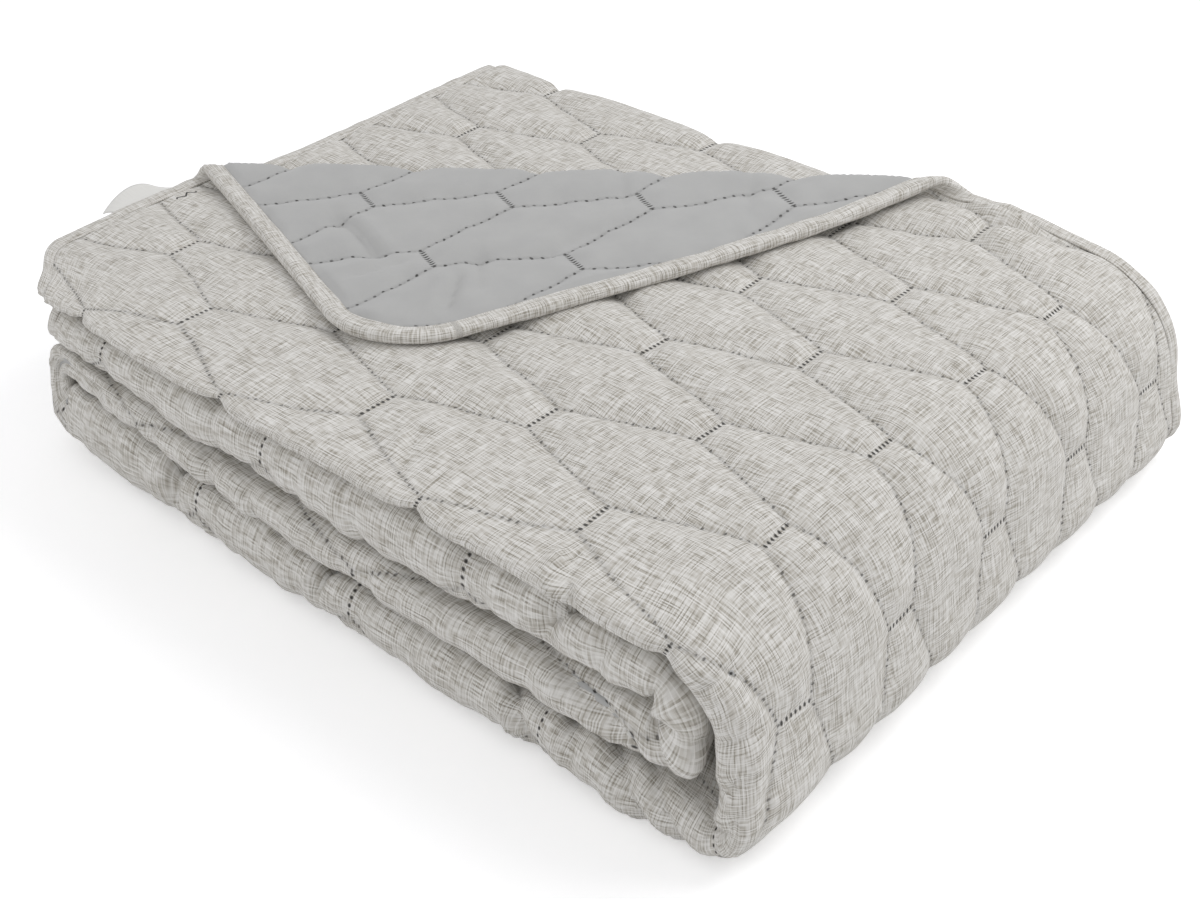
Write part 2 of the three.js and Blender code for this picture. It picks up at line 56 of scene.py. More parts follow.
# ---- The table and the studio ---------------------------------------------------------------
# A white table top under soft daylight from all round, with a large soft lamp high up behind the
# quilt's right-hand side and a weaker one in front. The camera looks down on the great bend.
def linear(colour):
    """A colour written as sRGB hex, turned to the linear values that a shader takes."""
    channels = [int(colour[i:i + 2], 16) / 255 for i in (1, 3, 5)]
    return [c / 12.92 if c <= 0.04045 else ((c + 0.055) / 1.055) ** 2.4 for c in channels] + [1.0]


def add(tree, kind, inputs=None, **settings):
    """Adds a node, sets or links its inputs, and returns its first output, or else the node."""
    node = tree.nodes.new(kind)
    for name, value in settings.items():
        setattr(node, name, value)
    for name, value in (inputs or {}).items():
        if isinstance(value, bpy.types.NodeSocket):
            tree.links.new(value, node.inputs[name])
        else:
            node.inputs[name].default_value = value
    return node.outputs[0] if len(node.outputs) else node


MATH, VECTOR_MATH, MAP_RANGE = "ShaderNodeMath", "ShaderNodeVectorMath", "ShaderNodeMapRange"
NOISE, MIX = "ShaderNodeTexNoise", "ShaderNodeMix"


def new_material(name):
    material = bpy.data.materials.new(name)
    material.use_nodes = True
    material.node_tree.nodes.clear()
    return material, material.node_tree


DAYLIGHT = 0.7
LAMPS = [dict(name="key_lamp", at=(0.9, 1.0, 1.7), size=1.3, watts=15.0),
         dict(name="fill_lamp", at=(-0.6, -1.6, 0.9), size=1.2, watts=3.5)]
TABLE_SIZE, TABLE_GLOW = 12, 0.34

world = bpy.data.worlds.new("studio_daylight")
scene.world = world
world.use_nodes = True
world.node_tree.nodes.clear()
ray = add(world.node_tree, "ShaderNodeLightPath").node.outputs
seen = ray["Is Camera Ray"]
for kind in ("Is Glossy Ray", "Is Transmission Ray"):
    seen = add(world.node_tree, MATH, {0: seen, 1: ray[kind]}, operation="MAXIMUM")
daylight = add(world.node_tree, "ShaderNodeBackground",
               {"Color": linear("#fdfdff"), "Strength": DAYLIGHT})
backdrop = add(world.node_tree, "ShaderNodeBackground",
               {"Color": linear("#ffffff"), "Strength": 1.0})
sky = add(world.node_tree, "ShaderNodeMixShader", {0: seen, 1: daylight, 2: backdrop})
add(world.node_tree, "ShaderNodeOutputWorld", {"Surface": sky})

table_top, tree = new_material("white_laminate_table")
ray = add(tree, "ShaderNodeLightPath").node.outputs
laminate = add(tree, "ShaderNodeBsdfDiffuse", {"Color": linear("#f4f4f4")})
glow = add(tree, "ShaderNodeEmission", {"Color": linear("#ffffff"), "Strength": TABLE_GLOW})
lit = add(tree, "ShaderNodeAddShader", {0: laminate, 1: glow})
surface = add(tree, "ShaderNodeMixShader", {0: ray["Is Camera Ray"], 1: laminate, 2: lit})
add(tree, "ShaderNodeOutputMaterial", {"Surface": surface})

bpy.ops.mesh.primitive_plane_add(size=TABLE_SIZE, location=(0, 0, 0))
table = bpy.context.object
table.name = "table_top"
table.data.materials.append(table_top)
table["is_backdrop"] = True

for sizes in LAMPS:
    lamp = bpy.data.objects.new(sizes["name"], bpy.data.lights.new(sizes["name"], "AREA"))
    lamp.data.shape = "DISK"
    lamp.data.size = sizes["size"]
    lamp.data.energy = sizes["watts"]
    lamp.location = sizes["at"]
    lamp.rotation_euler = (-Vector(sizes["at"])).to_track_quat("-Z", "Y").to_euler()
    scene.collection.objects.link(lamp)

CAMERA_AT = Vector((0.65315, -0.74863, 0.67772))
CAMERA_AIM = Vector((0.12408, -0.12236, 0.1125))
CAMERA_LENS, CAMERA_SENSOR = 49.8, 36
camera = bpy.data.objects.new("camera", bpy.data.cameras.new("camera"))
camera.data.lens = CAMERA_LENS
camera.data.sensor_width = CAMERA_SENSOR
camera.location = CAMERA_AT
camera.rotation_euler = (CAMERA_AIM - CAMERA_AT).to_track_quat("-Z", "Y").to_euler()
scene.collection.objects.link(camera)
scene.camera = camera
scene.view_settings.view_transform = "Standard"


# ---- The quilted panel ----------------------------------------------------------------------
# A linen-look polyester face cloth, a thin wadding and a plain grey microfibre reverse, quilted
# through in long zigzag lines joined by short bars. It is made flat, s along its length and t
# across it, and lay() folds each flat point into the stack just as the solid is folded.
MM = 0.001
LENGTH, WIDTH = 2462.0, 1500.0
CORNER_RADIUS = 66.0
RAW_EDGE = 2.6                       # the raw edge lies this far inside the binding's fold
EDGE_FLAT, EDGE_FULL = 11.5, 17.5    # pressed by the binding, and back to full thickness
EDGE_HALF = 2.0
LAYER, SHEET, ROLL = 12.0, 10.5, 36.0
FRONT, BACK, TOP_EDGE = -270.0, 242.0, 251.0
FREE_END, RIGHT, LEFT_BEND = -325.0, 316.0, -318.0
SHOULDER, FOOT = 54.0, 21.0
BASE = (LAYER - SHEET) / 2
FULL_HEIGHT = 4 * ROLL
ORIGIN = np.array([-11.38, -10.52, 0.0])


def smooth(low, high, value):
    share = np.clip((value - low) / (high - low), 0, 1)
    return share * share * (3 - 2 * share)


FRONT_CENTRE = FRONT + LAYER + SHEET / 2
BACK_CENTRE = BACK - LAYER / 2 - SHEET / 2
T_FRONT = TOP_EDGE - FRONT_CENTRE
T_UNDER = T_FRONT + np.pi * LAYER
T_BACK = T_UNDER + BACK_CENTRE - FRONT_CENTRE
T_MIDDLE = T_BACK + np.pi * LAYER / 2


def across_strip(t):
    """The fold in three: place across the strip, height over its middle, and the way out."""
    a = np.clip((t - T_FRONT) / LAYER, 0, np.pi)
    b = np.clip((t - T_BACK) / (LAYER / 2), 0, np.pi)
    zero, one = np.zeros_like(t), np.ones_like(t)
    where = [t < T_FRONT, t < T_UNDER, t < T_BACK, t < T_MIDDLE]
    y = np.select(where, [TOP_EDGE - t, FRONT_CENTRE - LAYER * np.sin(a), FRONT_CENTRE + t - T_UNDER,
                          BACK_CENTRE + LAYER / 2 * np.sin(b)], BACK_CENTRE - (t - T_MIDDLE))
    n = np.select(where, [LAYER * one, LAYER * np.cos(a), -LAYER * one, -LAYER / 2 * (1 + np.cos(b))], zero)
    out_y = np.select(where, [zero, -np.sin(a), zero, np.sin(b)], zero)
    out_n = np.select(where, [one, np.cos(a), -one, -np.cos(b)], one)
    return y, n, out_y, out_n


# The fold in four: one row for each section, from the uppermost end. way is the direction of a
# straight run, and a bend turns from start by turn degrees with the face outside (1) or inside (-1).
SIDE_X = RIGHT - ROLL / 2
GREAT_X, FOOT_X = SIDE_X - SHOULDER, SIDE_X - FOOT
LEFT_X, INNER_X = LEFT_BEND + ROLL, RIGHT - 2 * ROLL - 1
PATH = [
    dict(x=FREE_END, z=3.5 * ROLL, way=1, length=GREAT_X - FREE_END),
    dict(x=GREAT_X, z=3.5 * ROLL - SHOULDER, radius=SHOULDER, start=90, turn=-90, face=1),
    dict(x=SIDE_X, z=3.5 * ROLL - SHOULDER, way=0, length=3 * ROLL - SHOULDER - FOOT),
    dict(x=FOOT_X, z=ROLL / 2 + FOOT, radius=FOOT, start=0, turn=-90, face=1),
    dict(x=FOOT_X, z=ROLL / 2, way=-1, length=FOOT_X - LEFT_X),
    dict(x=LEFT_X, z=ROLL, radius=ROLL / 2, start=-90, turn=-180, face=1),
    dict(x=LEFT_X, z=1.5 * ROLL, way=1, length=INNER_X - LEFT_X),
    dict(x=INNER_X, z=2 * ROLL, radius=ROLL / 2, start=-90, turn=180, face=-1),
    dict(x=INNER_X, z=2.5 * ROLL, way=-1, length=LENGTH),
]
begin = turned = 0.0
for section in PATH:
    section["begin"], section["turned"] = begin, turned
    if "radius" in section:
        angle = np.radians(abs(section["turn"]))
        section["length"] = angle * section["radius"]
        turned += max(section["face"], 0) * angle
    begin += section["length"]
FOOT_START, LEFT_START = PATH[3]["begin"], PATH[5]["begin"]


def along_path(s):
    """Place on the strip's own path, the way out of it, and how far it has turned, face outside."""
    x, z, out_x, out_z, turned = (np.zeros_like(s) for _ in range(5))
    for section in PATH:
        here = (s >= section["begin"]) | (section is PATH[0])
        along = s[here] - section["begin"]
        turned[here] = section["turned"]
        if "radius" in section:
            a = np.radians(section["start"] + along / section["length"] * section["turn"])
            x[here] = section["x"] + section["radius"] * np.cos(a)
            z[here] = section["z"] + section["radius"] * np.sin(a)
            out_x[here], out_z[here] = section["face"] * np.cos(a), section["face"] * np.sin(a)
            turned[here] += max(section["face"], 0) * along / section["radius"]
        elif section["way"]:
            x[here], z[here] = section["x"] + section["way"] * along, section["z"]
            out_x[here], out_z[here] = 0, section["way"]
        else:
            x[here], z[here] = section["x"], section["z"] - along
            out_x[here], out_z[here] = 1, 0
    return x, z, out_x, out_z, turned


# The turned-back corner curls over on a line across the top layer and lies face down on it.
TURN_ALONG, TURN_ACROSS = 480.0, 343.0
CURL_RADIUS, CURL_LOOSE = LAYER / 2, 3.0
FLAP_RELAX, FLAP_SHEAR, FLAP_BOW = 60.0, 0.05, 8.0
TURN_LENGTH = np.hypot(TURN_ALONG, TURN_ACROSS)
TURN_COS, TURN_SIN = TURN_ALONG / TURN_LENGTH, TURN_ACROSS / TURN_LENGTH
CORNER_U = TURN_ACROSS * TURN_SIN


def to_turn(s, t):
    """u along the turned corner's fold from the end edge, q from that fold to the corner."""
    across = TURN_ACROSS - t
    return s * TURN_COS + across * TURN_SIN, across * TURN_COS - s * TURN_SIN


def turned_corner(s, t, m):
    u, q = to_turn(s, t)
    loose = CURL_LOOSE * np.clip(u / TURN_LENGTH, 0, 2) ** 3
    radius = CURL_RADIUS + loose
    past = np.maximum(q - np.pi * radius, 0)
    a = np.minimum(q / radius, np.pi)
    bow = np.sin(np.pi * np.clip((u - CORNER_U) / (TURN_LENGTH - CORNER_U), 0, 1))
    along = np.where(past > 0, -past - FLAP_BOW * bow * smooth(0, FLAP_RELAX, past), (radius - m) * np.sin(a))
    settled = 2 * CURL_RADIUS + 2 * loose * np.exp(-past / FLAP_RELAX) - m
    rise = np.where(past > 0, settled, radius - (radius - m) * np.cos(a))
    drift = u + FLAP_SHEAR * np.minimum(0, along)
    x = FREE_END + drift * TURN_COS - along * TURN_SIN
    y = TOP_EDGE - TURN_ACROSS + drift * TURN_SIN + along * TURN_COS
    return x, y, 3.5 * ROLL + LAYER - BASE + rise


# How the neat stack has settled: at stations along its front, the heights of the dips
# between its four rolls, and how far each roll bulges out. Roll 1 is uppermost.
SETTLED_COLUMNS = ("x", "dip34", "dip23", "dip12", "top", "out4", "out3", "out2", "out1")
SETTLED_FRONT = [
    (-330, 64, 94, 127, 136, -16, -14, -12, -12),
    (-240, 64, 93, 131, 140, -8, -6, -4, -7),
    (-150, 56, 89, 131, 142, -5, -2, -1, -2),
    (-60, 50, 82, 130, 142, -2, 0, 0, 0),
    (30, 45, 80, 130, 142, 0, 1, 0, 0),
    (120, 44, 76, 127, 141, 2, 1, 0, 0),
    (200, 40, 80, 125, 140, 3, -2, -2, 0),
    (270, 37, 80, 117, 139, 3, -4, -4, 0),
    (330, 38, 74, 109, 139, 4, -4, -5, -4),
]
FRONT_REACH, BULGE_REACH = 150.0, 60.0
DRAWN_IN = [(0, -4), (20, 8), (36, 16), (72, 24), (90, 34), (108, 38), (126, 48), (143, 39), (200, 39)]
CORNER_REACH, END_REACH = 65.0, 150.0
CROWN, CROWN_Y, SHOULDER_DROP, FAR_PUFF, PRESS_OUT = 3.0, -12.0, 4.0, 5.0, 12.0
SAG_OUT, SAG_FAR, SAG_TOP, SAG_LOW = 20.0, 5.0, 90.0, 0.65
DROOP = dict(x=262.0, z=54.0, radius=24.0, down=8.5, out=3.0)
HUMP = dict(x=178.0, y=232.0, radius=55.0, rise=11.0)
LIFT = dict(x=-318.0, y=-258.0, radius=42.0, rise=9.0)      # the left bend's lowest corner


def settle(x, y, z):
    settled = np.array(SETTLED_FRONT, float)
    column = {name: np.interp(x, settled[:, 0], settled[:, i]) for i, name in enumerate(SETTLED_COLUMNS)}
    levels = np.stack([np.zeros_like(x)] + [column[name] for name in SETTLED_COLUMNS[1:5]])
    bulges = np.stack([column[name] for name in SETTLED_COLUMNS[5:]])
    every = np.arange(len(x))
    roll = np.clip(np.floor(z / ROLL).astype(int), 0, 3)
    share = np.clip(z / ROLL - roll, 0, 1)
    height = levels[roll, every] * (1 - share) + levels[roll + 1, every] * share
    height += np.maximum(z - FULL_HEIGHT, 0)
    middle = np.clip(z / ROLL - 0.5, 0, 3)
    lower = np.clip(np.floor(middle).astype(int), 0, 2)
    bulge = bulges[lower, every] * (1 - (middle - lower)) + bulges[lower + 1, every] * (middle - lower)
    even = smooth(FRONT, FRONT + FRONT_REACH, y)
    front = 1 - smooth(FRONT, FRONT + BULGE_REACH, y)
    corner = 1 - smooth(FRONT, FRONT + CORNER_REACH, y)
    end = 1 - smooth(FREE_END, FREE_END + END_REACH, x)
    high = np.clip(z / FULL_HEIGHT, 0, 1)
    crown = np.cos(np.pi * x / (2 * RIGHT + ROLL)) * np.cos(np.pi * (y - CROWN_Y) / 2 / BACK)
    belly = SAG_OUT + SAG_FAR * smooth(0, BACK, y)
    near = np.hypot(x - DROOP["x"], z - DROOP["z"]) / DROOP["radius"]
    droop = front * np.exp(-near ** 2) * smooth(0, ROLL, z)
    away = np.hypot(x - HUMP["x"], y - HUMP["y"]) / HUMP["radius"]
    new_x = x + corner * end * np.interp(z, *np.array(DRAWN_IN, float).T)
    up = np.clip(z / SAG_TOP, 0, 1) ** SAG_LOW
    new_x += smooth(RIGHT - 2 * ROLL, RIGHT, x) * belly * np.sin(np.pi * up) * (1 - up)
    press = smooth(GREAT_X - 2 * ROLL, SIDE_X - ROLL / 2, x) * smooth(-RIGHT, ROLL / 2 - SIDE_X, -x)
    new_x += front * PRESS_OUT * press + DROOP["out"] * droop
    new_z = height * (1 - even) + z * even
    new_z += CROWN * high * np.maximum(0, crown) - DROOP["down"] * droop
    new_z += HUMP["rise"] * smooth(FULL_HEIGHT - LAYER, FULL_HEIGHT, z) * np.exp(-away ** 2)
    new_z += FAR_PUFF * high * smooth(0, BACK, y) * smooth(-GREAT_X, ROLL, -x)
    new_z -= SHOULDER_DROP * high * smooth(GREAT_X - 2 * ROLL, RIGHT, x) * smooth(0, BACK, y)
    off = np.hypot(x - LIFT["x"], y - LIFT["y"]) / LIFT["radius"]
    lift = LIFT["rise"] * np.exp(-off ** 2) * np.clip(1 - z / ROLL, 0, 1)
    return np.stack([new_x, y - front * bulge, np.where(z <= 0, 0, new_z) + lift], -1)


def lay(s, t, m):
    """Flat points, in millimetres, to their places in the folded stack, in metres."""
    s, t, m = (np.array(v, float) for v in np.broadcast_arrays(s, t, m))
    y, n, out_y, out_n = across_strip(t)
    x, z, out_x, out_z, _ = along_path(s)
    over = n + m * out_n
    neat = np.stack([x + over * out_x, y + m * out_y, z + over * out_z - BASE], -1)
    turned = (t < T_FRONT) & (s < PATH[0]["length"]) & (to_turn(np.maximum(s, 0), t)[1] > 0)
    neat[turned] = np.stack(turned_corner(s[turned], t[turned], m[turned]), -1)
    return (settle(*neat.T) - ORIGIN) * MM


# The quilting. Bars 26 mm long stand across the quilt, and long lines zigzag between their ends.
BAR_STEP, BAR_ROW = 83.56, 52.28     # between neighbouring bars, along and across
BAR_AT_S, BAR_AT_T = 333.6, 464.1    # one of the bars' middles
BAR_HALF = 13.0
LINE_SLOPE = (BAR_ROW - 2 * BAR_HALF) / BAR_STEP
LINE_COS = 1 / np.hypot(1, LINE_SLOPE)

# Smooth random hills give the cloth its unevenness: one sheet of them for each thing that varies.
HILL_SEED, HILL_COUNT, HILL_SIDE = 7, 12, 128
HILL_START = (7, 9)
HILL_SHEETS = dict(wander_s=0, wander_t=1, fullness=2, gathers=3, softness=4, reverse_gathers=5,
                   binding_depth=6, binding_swell=8, label=9, wrinkles=10, fold_wrinkles=11)
hills = np.random.default_rng(HILL_SEED).random((HILL_COUNT, HILL_SIDE, HILL_SIDE))


def ripple(x, y, size, sheet):
    """The hills of one sheet, each of about this size, from -1 to 1."""
    x, y = x / size + HILL_START[0], y / size + HILL_START[1]
    i, j = np.floor(x).astype(int), np.floor(y).astype(int)
    fx, fy = x - i, y - j
    fx, fy = fx * fx * (3 - 2 * fx), fy * fy * (3 - 2 * fy)
    h = hills[HILL_SHEETS[sheet]]
    i0, i1, j0, j1 = (k % HILL_SIDE for k in (i, i + 1, j, j + 1))
    near = h[i0, j0] * (1 - fy) + h[i0, j1] * fy
    far = h[i1, j0] * (1 - fy) + h[i1, j1] * fy
    return 2 * (near * (1 - fx) + far * fx) - 1


# The outer layer takes more cloth round each bend, and the lower rolls have crept on it as they
# folded: how far along, at places down the length, and how far across at the front folds.
CREPT_AT, CREPT_ALONG = (690, 816, 970, 1120, 1278, 1917), (0, 65, 78, 95, 95, -21)
CREPT_ACROSS, CREPT_BELOW = 9.0, 8.0
CREPT_PAST_S, CREPT_PAST_T = (690, 800), (468, 505)      # over which these set in
WANDER_S = dict(by=2.2, size=48)     # how far a sewn line strays, and over what distance
WANDER_T = dict(by=2.6, size=40)


def cloth_place(s, t):
    """Place on the cloth as woven and quilted, in millimetres."""
    x = s + LAYER * along_path(s)[4] + np.interp(s, CREPT_AT, CREPT_ALONG)
    across = CREPT_ACROSS + CREPT_BELOW * smooth(*CREPT_PAST_S, s)
    return x, t - across * smooth(*CREPT_PAST_T, t)


def sewn_place(s, t):
    """Place in the quilting, in steps between bars. No sewn line is quite straight."""
    x, y = cloth_place(s, t)
    stray_s = WANDER_S["by"] * ripple(x, y, WANDER_S["size"], "wander_s")
    stray_t = WANDER_T["by"] * ripple(x, y, WANDER_T["size"], "wander_t")
    return (x + stray_s - BAR_AT_S) / BAR_STEP, (BAR_AT_T - y + stray_t) / BAR_ROW


def from_stitching(u, v):
    """Distance from the nearest sewn line or bar, and place along it."""
    a = np.abs((u + 1) % 2 - 1) * BAR_STEP
    b = np.abs((v + 1) % 2 - 1) * BAR_ROW
    line = (b - BAR_HALF - a * LINE_SLOPE) * LINE_COS
    above = line > 0
    a = np.where(above, BAR_STEP - a, a)
    b = np.where(above, BAR_ROW - b, b)
    bar = np.hypot(a, np.maximum(b - BAR_HALF, 0))
    return np.minimum(np.abs(line), bar), np.where(bar < np.abs(line), b, a / LINE_COS)


def inside_edge(s, t):
    end, side = np.minimum(s, LENGTH - s), np.minimum(t, WIDTH - t)
    rounded = CORNER_RADIUS - np.hypot(CORNER_RADIUS - end, CORNER_RADIUS - side)
    return np.where((end < CORNER_RADIUS) & (side < CORNER_RADIUS), rounded, np.minimum(end, side))


SEWN_HALF = 1.0       # half the thickness where it is sewn through
PUFF_HALF = 5.6       # and where it is fullest, between two layers
PUFF_OPEN = 7.8       # on the top of the stack
PUFF_SIDE = 6.2       # and down its right-hand side, where it is drawn tight
PUFF_WIDE = 24.0      # from a seam to the full thickness
PUFF_ROUND = 2.3      # how steeply it rises from the seam
PUFF_TIGHTENS = (585, 680)           # s, over the shoulder of the great bend
SEAM_TIGHTENS = (600, 680)
TIGHT_SEAM = 1.6      # how much shallower the seams are where the cloth is drawn tight
TOP_ENDS = (800, 740)                # s where the stack's top and side pass out of sight
BARED_FROM, BARED_TO = (1010, 1040), (480, 440)      # what the turned corner uncovers, t and s


def on_outside(s, t):
    """1 where the face lies open to the air, 0 inside the stack, and 1 halfway round each fold."""
    fold = np.sin(np.pi * np.clip((t - T_FRONT) / (T_UNDER - T_FRONT), 0, 1))
    top = np.where(t < (T_FRONT + T_UNDER) / 2, 1, fold) * smooth(*TOP_ENDS, s)
    bared = smooth(*BARED_FROM, t) * smooth(*BARED_TO, s)
    return np.maximum(np.maximum(top, fold), bared)


# Creases pressed or pushed into the cloth: where each begins and ends on the flat quilt, how
# deep it is, and how wide from its middle. A lower ridge runs along its far side.
CREASE_COLUMNS = ("s", "t", "to_s", "to_t", "deep", "wide")
CREASE_ENDS, CREASE_SHARP = (-0.25, 0.2), 1.2
RIDGE_HIGH, RIDGE_AT = 0.4, 2.2      # shares of the crease's depth and width
FACE_CREASES = [
    (374, 472, 394, 503, 5, 4),          # roll 1
    (515, 494, 530, 524, 8, 4),
    (455, 500, 462, 520, 3, 4),
    (612, 496, 606, 520, 5, 4),          # the great bend
    (640, 498, 642, 522, 4, 4),
    (1954, 550, 1974, 520, 12, 6),       # roll 2
    (1928, 546, 1942, 518, 7, 5),
    (2016, 512, 2026, 540, 3, 6),
    (2130, 540, 2118, 515, 4, 6),
    (2250, 540, 2244, 512, 4, 6),
    (1912, 508, 1908, 542, 7, 4),        # the inner bend
    (1892, 506, 1886, 540, 7, 4),
    (1872, 508, 1868, 534, 5, 4),
    (1800, 508, 1838, 520, 7, 4),        # roll 3
    (1838, 520, 1872, 538, 7, 4),
    (1452, 510, 1470, 536, 5, 5),
    (1512, 508, 1524, 534, 5, 5),
    (1556, 510, 1566, 534, 4, 5),
    (1660, 512, 1672, 538, 3, 6),
    (1394, 519, 1300, 518, 9, 4),        # the left bend
    (1394, 522, 1274, 527, 9, 4),
    (1142, 550, 1144, 520, 11, 5),       # roll 4
    (1042, 548, 1044, 534, 5, 5),
    (996, 550, 997, 526, 9, 4),
    (850, 552, 822, 516, 8, 4),
    (804, 548, 790, 522, 5, 4),
    (779, 548, 738, 508, 7, 5),
    (754, 546, 722, 510, 6, 4),
    (684, 516, 716, 538, 6, 4),          # the foot of the great bend
    (660, 512, 676, 530, 4, 4),
]
REVERSE_CREASES = [
    (53, 190, 56, 118, 5, 5),
    (67, 26, 92, 62, 5, 5),
    (96, 40, 118, 88, 3, 5),
    (150, 60, 205, 82, 3, 6),
    (30, 95, 70, 100, 3, 5),
    (232, 96, 262, 150, 2.5, 6),
    (300, 40, 330, 84, 2.5, 6),
]
HOLLOW = dict(s=1344, t=522, long=34, wide=11, deep=6.0)     # the left bend's pushed-in end


def creases(table, s, t):
    total = np.zeros_like(s)
    for row in table:
        crease = dict(zip(CREASE_COLUMNS, row))
        run_s, run_t = crease["to_s"] - crease["s"], crease["to_t"] - crease["t"]
        length = np.hypot(run_s, run_t)
        along = ((s - crease["s"]) * run_s + (t - crease["t"]) * run_t) / length ** 2
        across = ((t - crease["t"]) * run_s - (s - crease["s"]) * run_t) / length / crease["wide"]
        ends = smooth(*CREASE_ENDS, along) * smooth(*CREASE_ENDS, 1 - along)
        ridge = RIDGE_HIGH * np.exp(-(across - RIDGE_AT) ** 2)
        total += crease["deep"] * ends * (ridge - np.exp(-CREASE_SHARP * np.abs(across)))
    return total


# What the padding does beside rising from its seams: by how much, over what distance, and where.
UNEVEN = dict(least=0.75, more=0.5, size=90)
NIP = dict(deep=2.4, wide=9, off=2, below=(740, 800), keeps=(1, 4))    # at the front folds' ends
GATHERS = dict(by=1.3, more=1.7, reach=9, clear=3, size=8, spread=0.3)  # along the seams
GATHERS_RISE, GATHERS_FALL = (478, 500), (560, 540)  # t, where the front folds draw them deeper
SOFTNESS = dict(by=0.7, size=34)
FOLD_RISES, FOLD_FALLS = (484, 506), (562, 538)      # t, over the wrinkles of the front folds
FOLD_WRINKLES = dict(least=0.6, more=0.7, below=(690, 760), foot=(506, 524), size=9, spread=0.3)
FOLD_SLANTS = dict(by=0.8, size=17, slant=0.5)
REVERSE_GATHERS = dict(by=0.9, reach=12, size=11, spread=0.4)
REVERSE_WRINKLES = dict(by=1.1, size=30, slant=0.6)


def swelling(distance):
    """0 at a seam and 1 where the padding is fullest."""
    return 1 - (1 - np.clip(distance / PUFF_WIDE, 0, 1)) ** PUFF_ROUND


def pressed_edge(height, s, t):
    pressed = smooth(EDGE_FLAT, EDGE_FULL, inside_edge(s, t))
    return EDGE_HALF + (height - EDGE_HALF) * pressed


def face_height(s, t):
    distance, along = from_stitching(*sewn_place(s, t))
    x, y = cloth_place(s, t)
    outside = on_outside(s, t)
    fullest = PUFF_OPEN + (PUFF_SIDE - PUFF_OPEN) * smooth(*PUFF_TIGHTENS, s)
    uneven = UNEVEN["least"] + UNEVEN["more"] * ripple(x, y, UNEVEN["size"], "fullness")
    full = PUFF_HALF + outside * (fullest - PUFF_HALF) * uneven
    sewn = SEWN_HALF + TIGHT_SEAM * outside * smooth(*SEAM_TIGHTENS, s)
    swell = swelling(distance)
    height = sewn + (full - sewn) * swell
    nip = np.exp(-((t - T_UNDER - NIP["off"]) / NIP["wide"]) ** 2)
    nip += smooth(*NIP["below"], s) * np.exp(-((t - T_FRONT + NIP["off"]) / NIP["wide"]) ** 2)
    height -= NIP["deep"] * nip * smooth(*NIP["keeps"], height)
    gather = np.exp(-distance / GATHERS["reach"]) * np.clip(distance / GATHERS["clear"], 0, 1)
    gather *= ripple(along, distance * GATHERS["spread"], GATHERS["size"], "gathers")
    drawn = GATHERS["by"] + GATHERS["more"] * smooth(*GATHERS_RISE, t) * smooth(*GATHERS_FALL, t)
    height += drawn * outside * gather
    height += SOFTNESS["by"] * outside * swell * ripple(x, y, SOFTNESS["size"], "softness")
    deeper = FOLD_WRINKLES["least"] + FOLD_WRINKLES["more"] * smooth(*FOLD_WRINKLES["below"], s)
    folded = smooth(*FOLD_RISES, t) * smooth(*FOLD_FALLS, t) * deeper
    over_foot = (s > FOOT_START) & (s < LEFT_START)
    folded *= np.where(over_foot, smooth(*FOLD_WRINKLES["foot"], t), 1)
    upright = ripple(s, t * FOLD_WRINKLES["spread"], FOLD_WRINKLES["size"], "fold_wrinkles")
    slant = FOLD_SLANTS["slant"]
    slanting = ripple(s + slant * t, t * slant, FOLD_SLANTS["size"], "wrinkles")
    height += folded * (upright + FOLD_SLANTS["by"] * slanting)
    from_s, from_t = (s - HOLLOW["s"]) / HOLLOW["long"], (t - HOLLOW["t"]) / HOLLOW["wide"]
    height -= HOLLOW["deep"] * np.exp(-from_s ** 2 - from_t ** 2)
    return pressed_edge(height + creases(FACE_CREASES, s, t), s, t)


def reverse_height(s, t):
    distance, along = from_stitching(*sewn_place(s, t))
    x, y = cloth_place(s, t)
    swell = swelling(distance)
    height = SEWN_HALF + (PUFF_HALF - SEWN_HALF) * swell
    gather = ripple(along, distance * REVERSE_GATHERS["spread"], REVERSE_GATHERS["size"], "reverse_gathers")
    height += REVERSE_GATHERS["by"] * np.exp(-distance / REVERSE_GATHERS["reach"]) * gather
    slant = REVERSE_WRINKLES["slant"]
    wrinkle = ripple(x * slant + y, y * slant - x, REVERSE_WRINKLES["size"], "wrinkles")
    height += REVERSE_WRINKLES["by"] * swell * wrinkle
    return pressed_edge(height + creases(REVERSE_CREASES, s, t), s, t)


# The mesh: squares of 28 mm, cut in 2, 4 or 8 where the cloth shows or bends.
CELLS_S, CELLS_T, FINEST = 88, 54, 8
TRUE_S = np.linspace(RAW_EDGE, LENGTH - RAW_EDGE, CELLS_S * FINEST + 1)
TRUE_T = np.linspace(RAW_EDGE, WIDTH - RAW_EDGE, CELLS_T * FINEST + 1)

# Where the squares are cut: from and to along s, from and to along t, and how often they are
# halved. Later rows overrule earlier ones.
BEND_AREAS = [(560, 740, 0, WIDTH, 1), (1265, 1350, 0, WIDTH, 1), (1845, 1935, 0, WIDTH, 1)]
FOLD_AREAS = [(0, LENGTH, 475, 570, 2), (0, LENGTH, 1000, 1060, 2)]
EDGE_AREAS = [(0, 45, 0, WIDTH, 2), (LENGTH - 45, LENGTH, 0, WIDTH, 2), (0, LENGTH, 0, 45, 2)]
FACE_AREAS = [(1265, 1350, 0, 590, 2), (1845, 1935, 440, 590, 3), (0, LENGTH, 460, 560, 3)]
TOP_TO_S, TOP_TO_T = 770, 590        # the top and the great bend show as far as this
FLAP_TO_S, FLAP_FROM, FLAP_COVERS = 520, -25, 30     # the turned corner, from before its fold
LAID_BARE_TO_S, LAID_BARE_FROM_T, LAID_BARE_FROM_Q = 500, 1020, -35  # the layer that it uncovers
IN_FULL_VIEW = 3


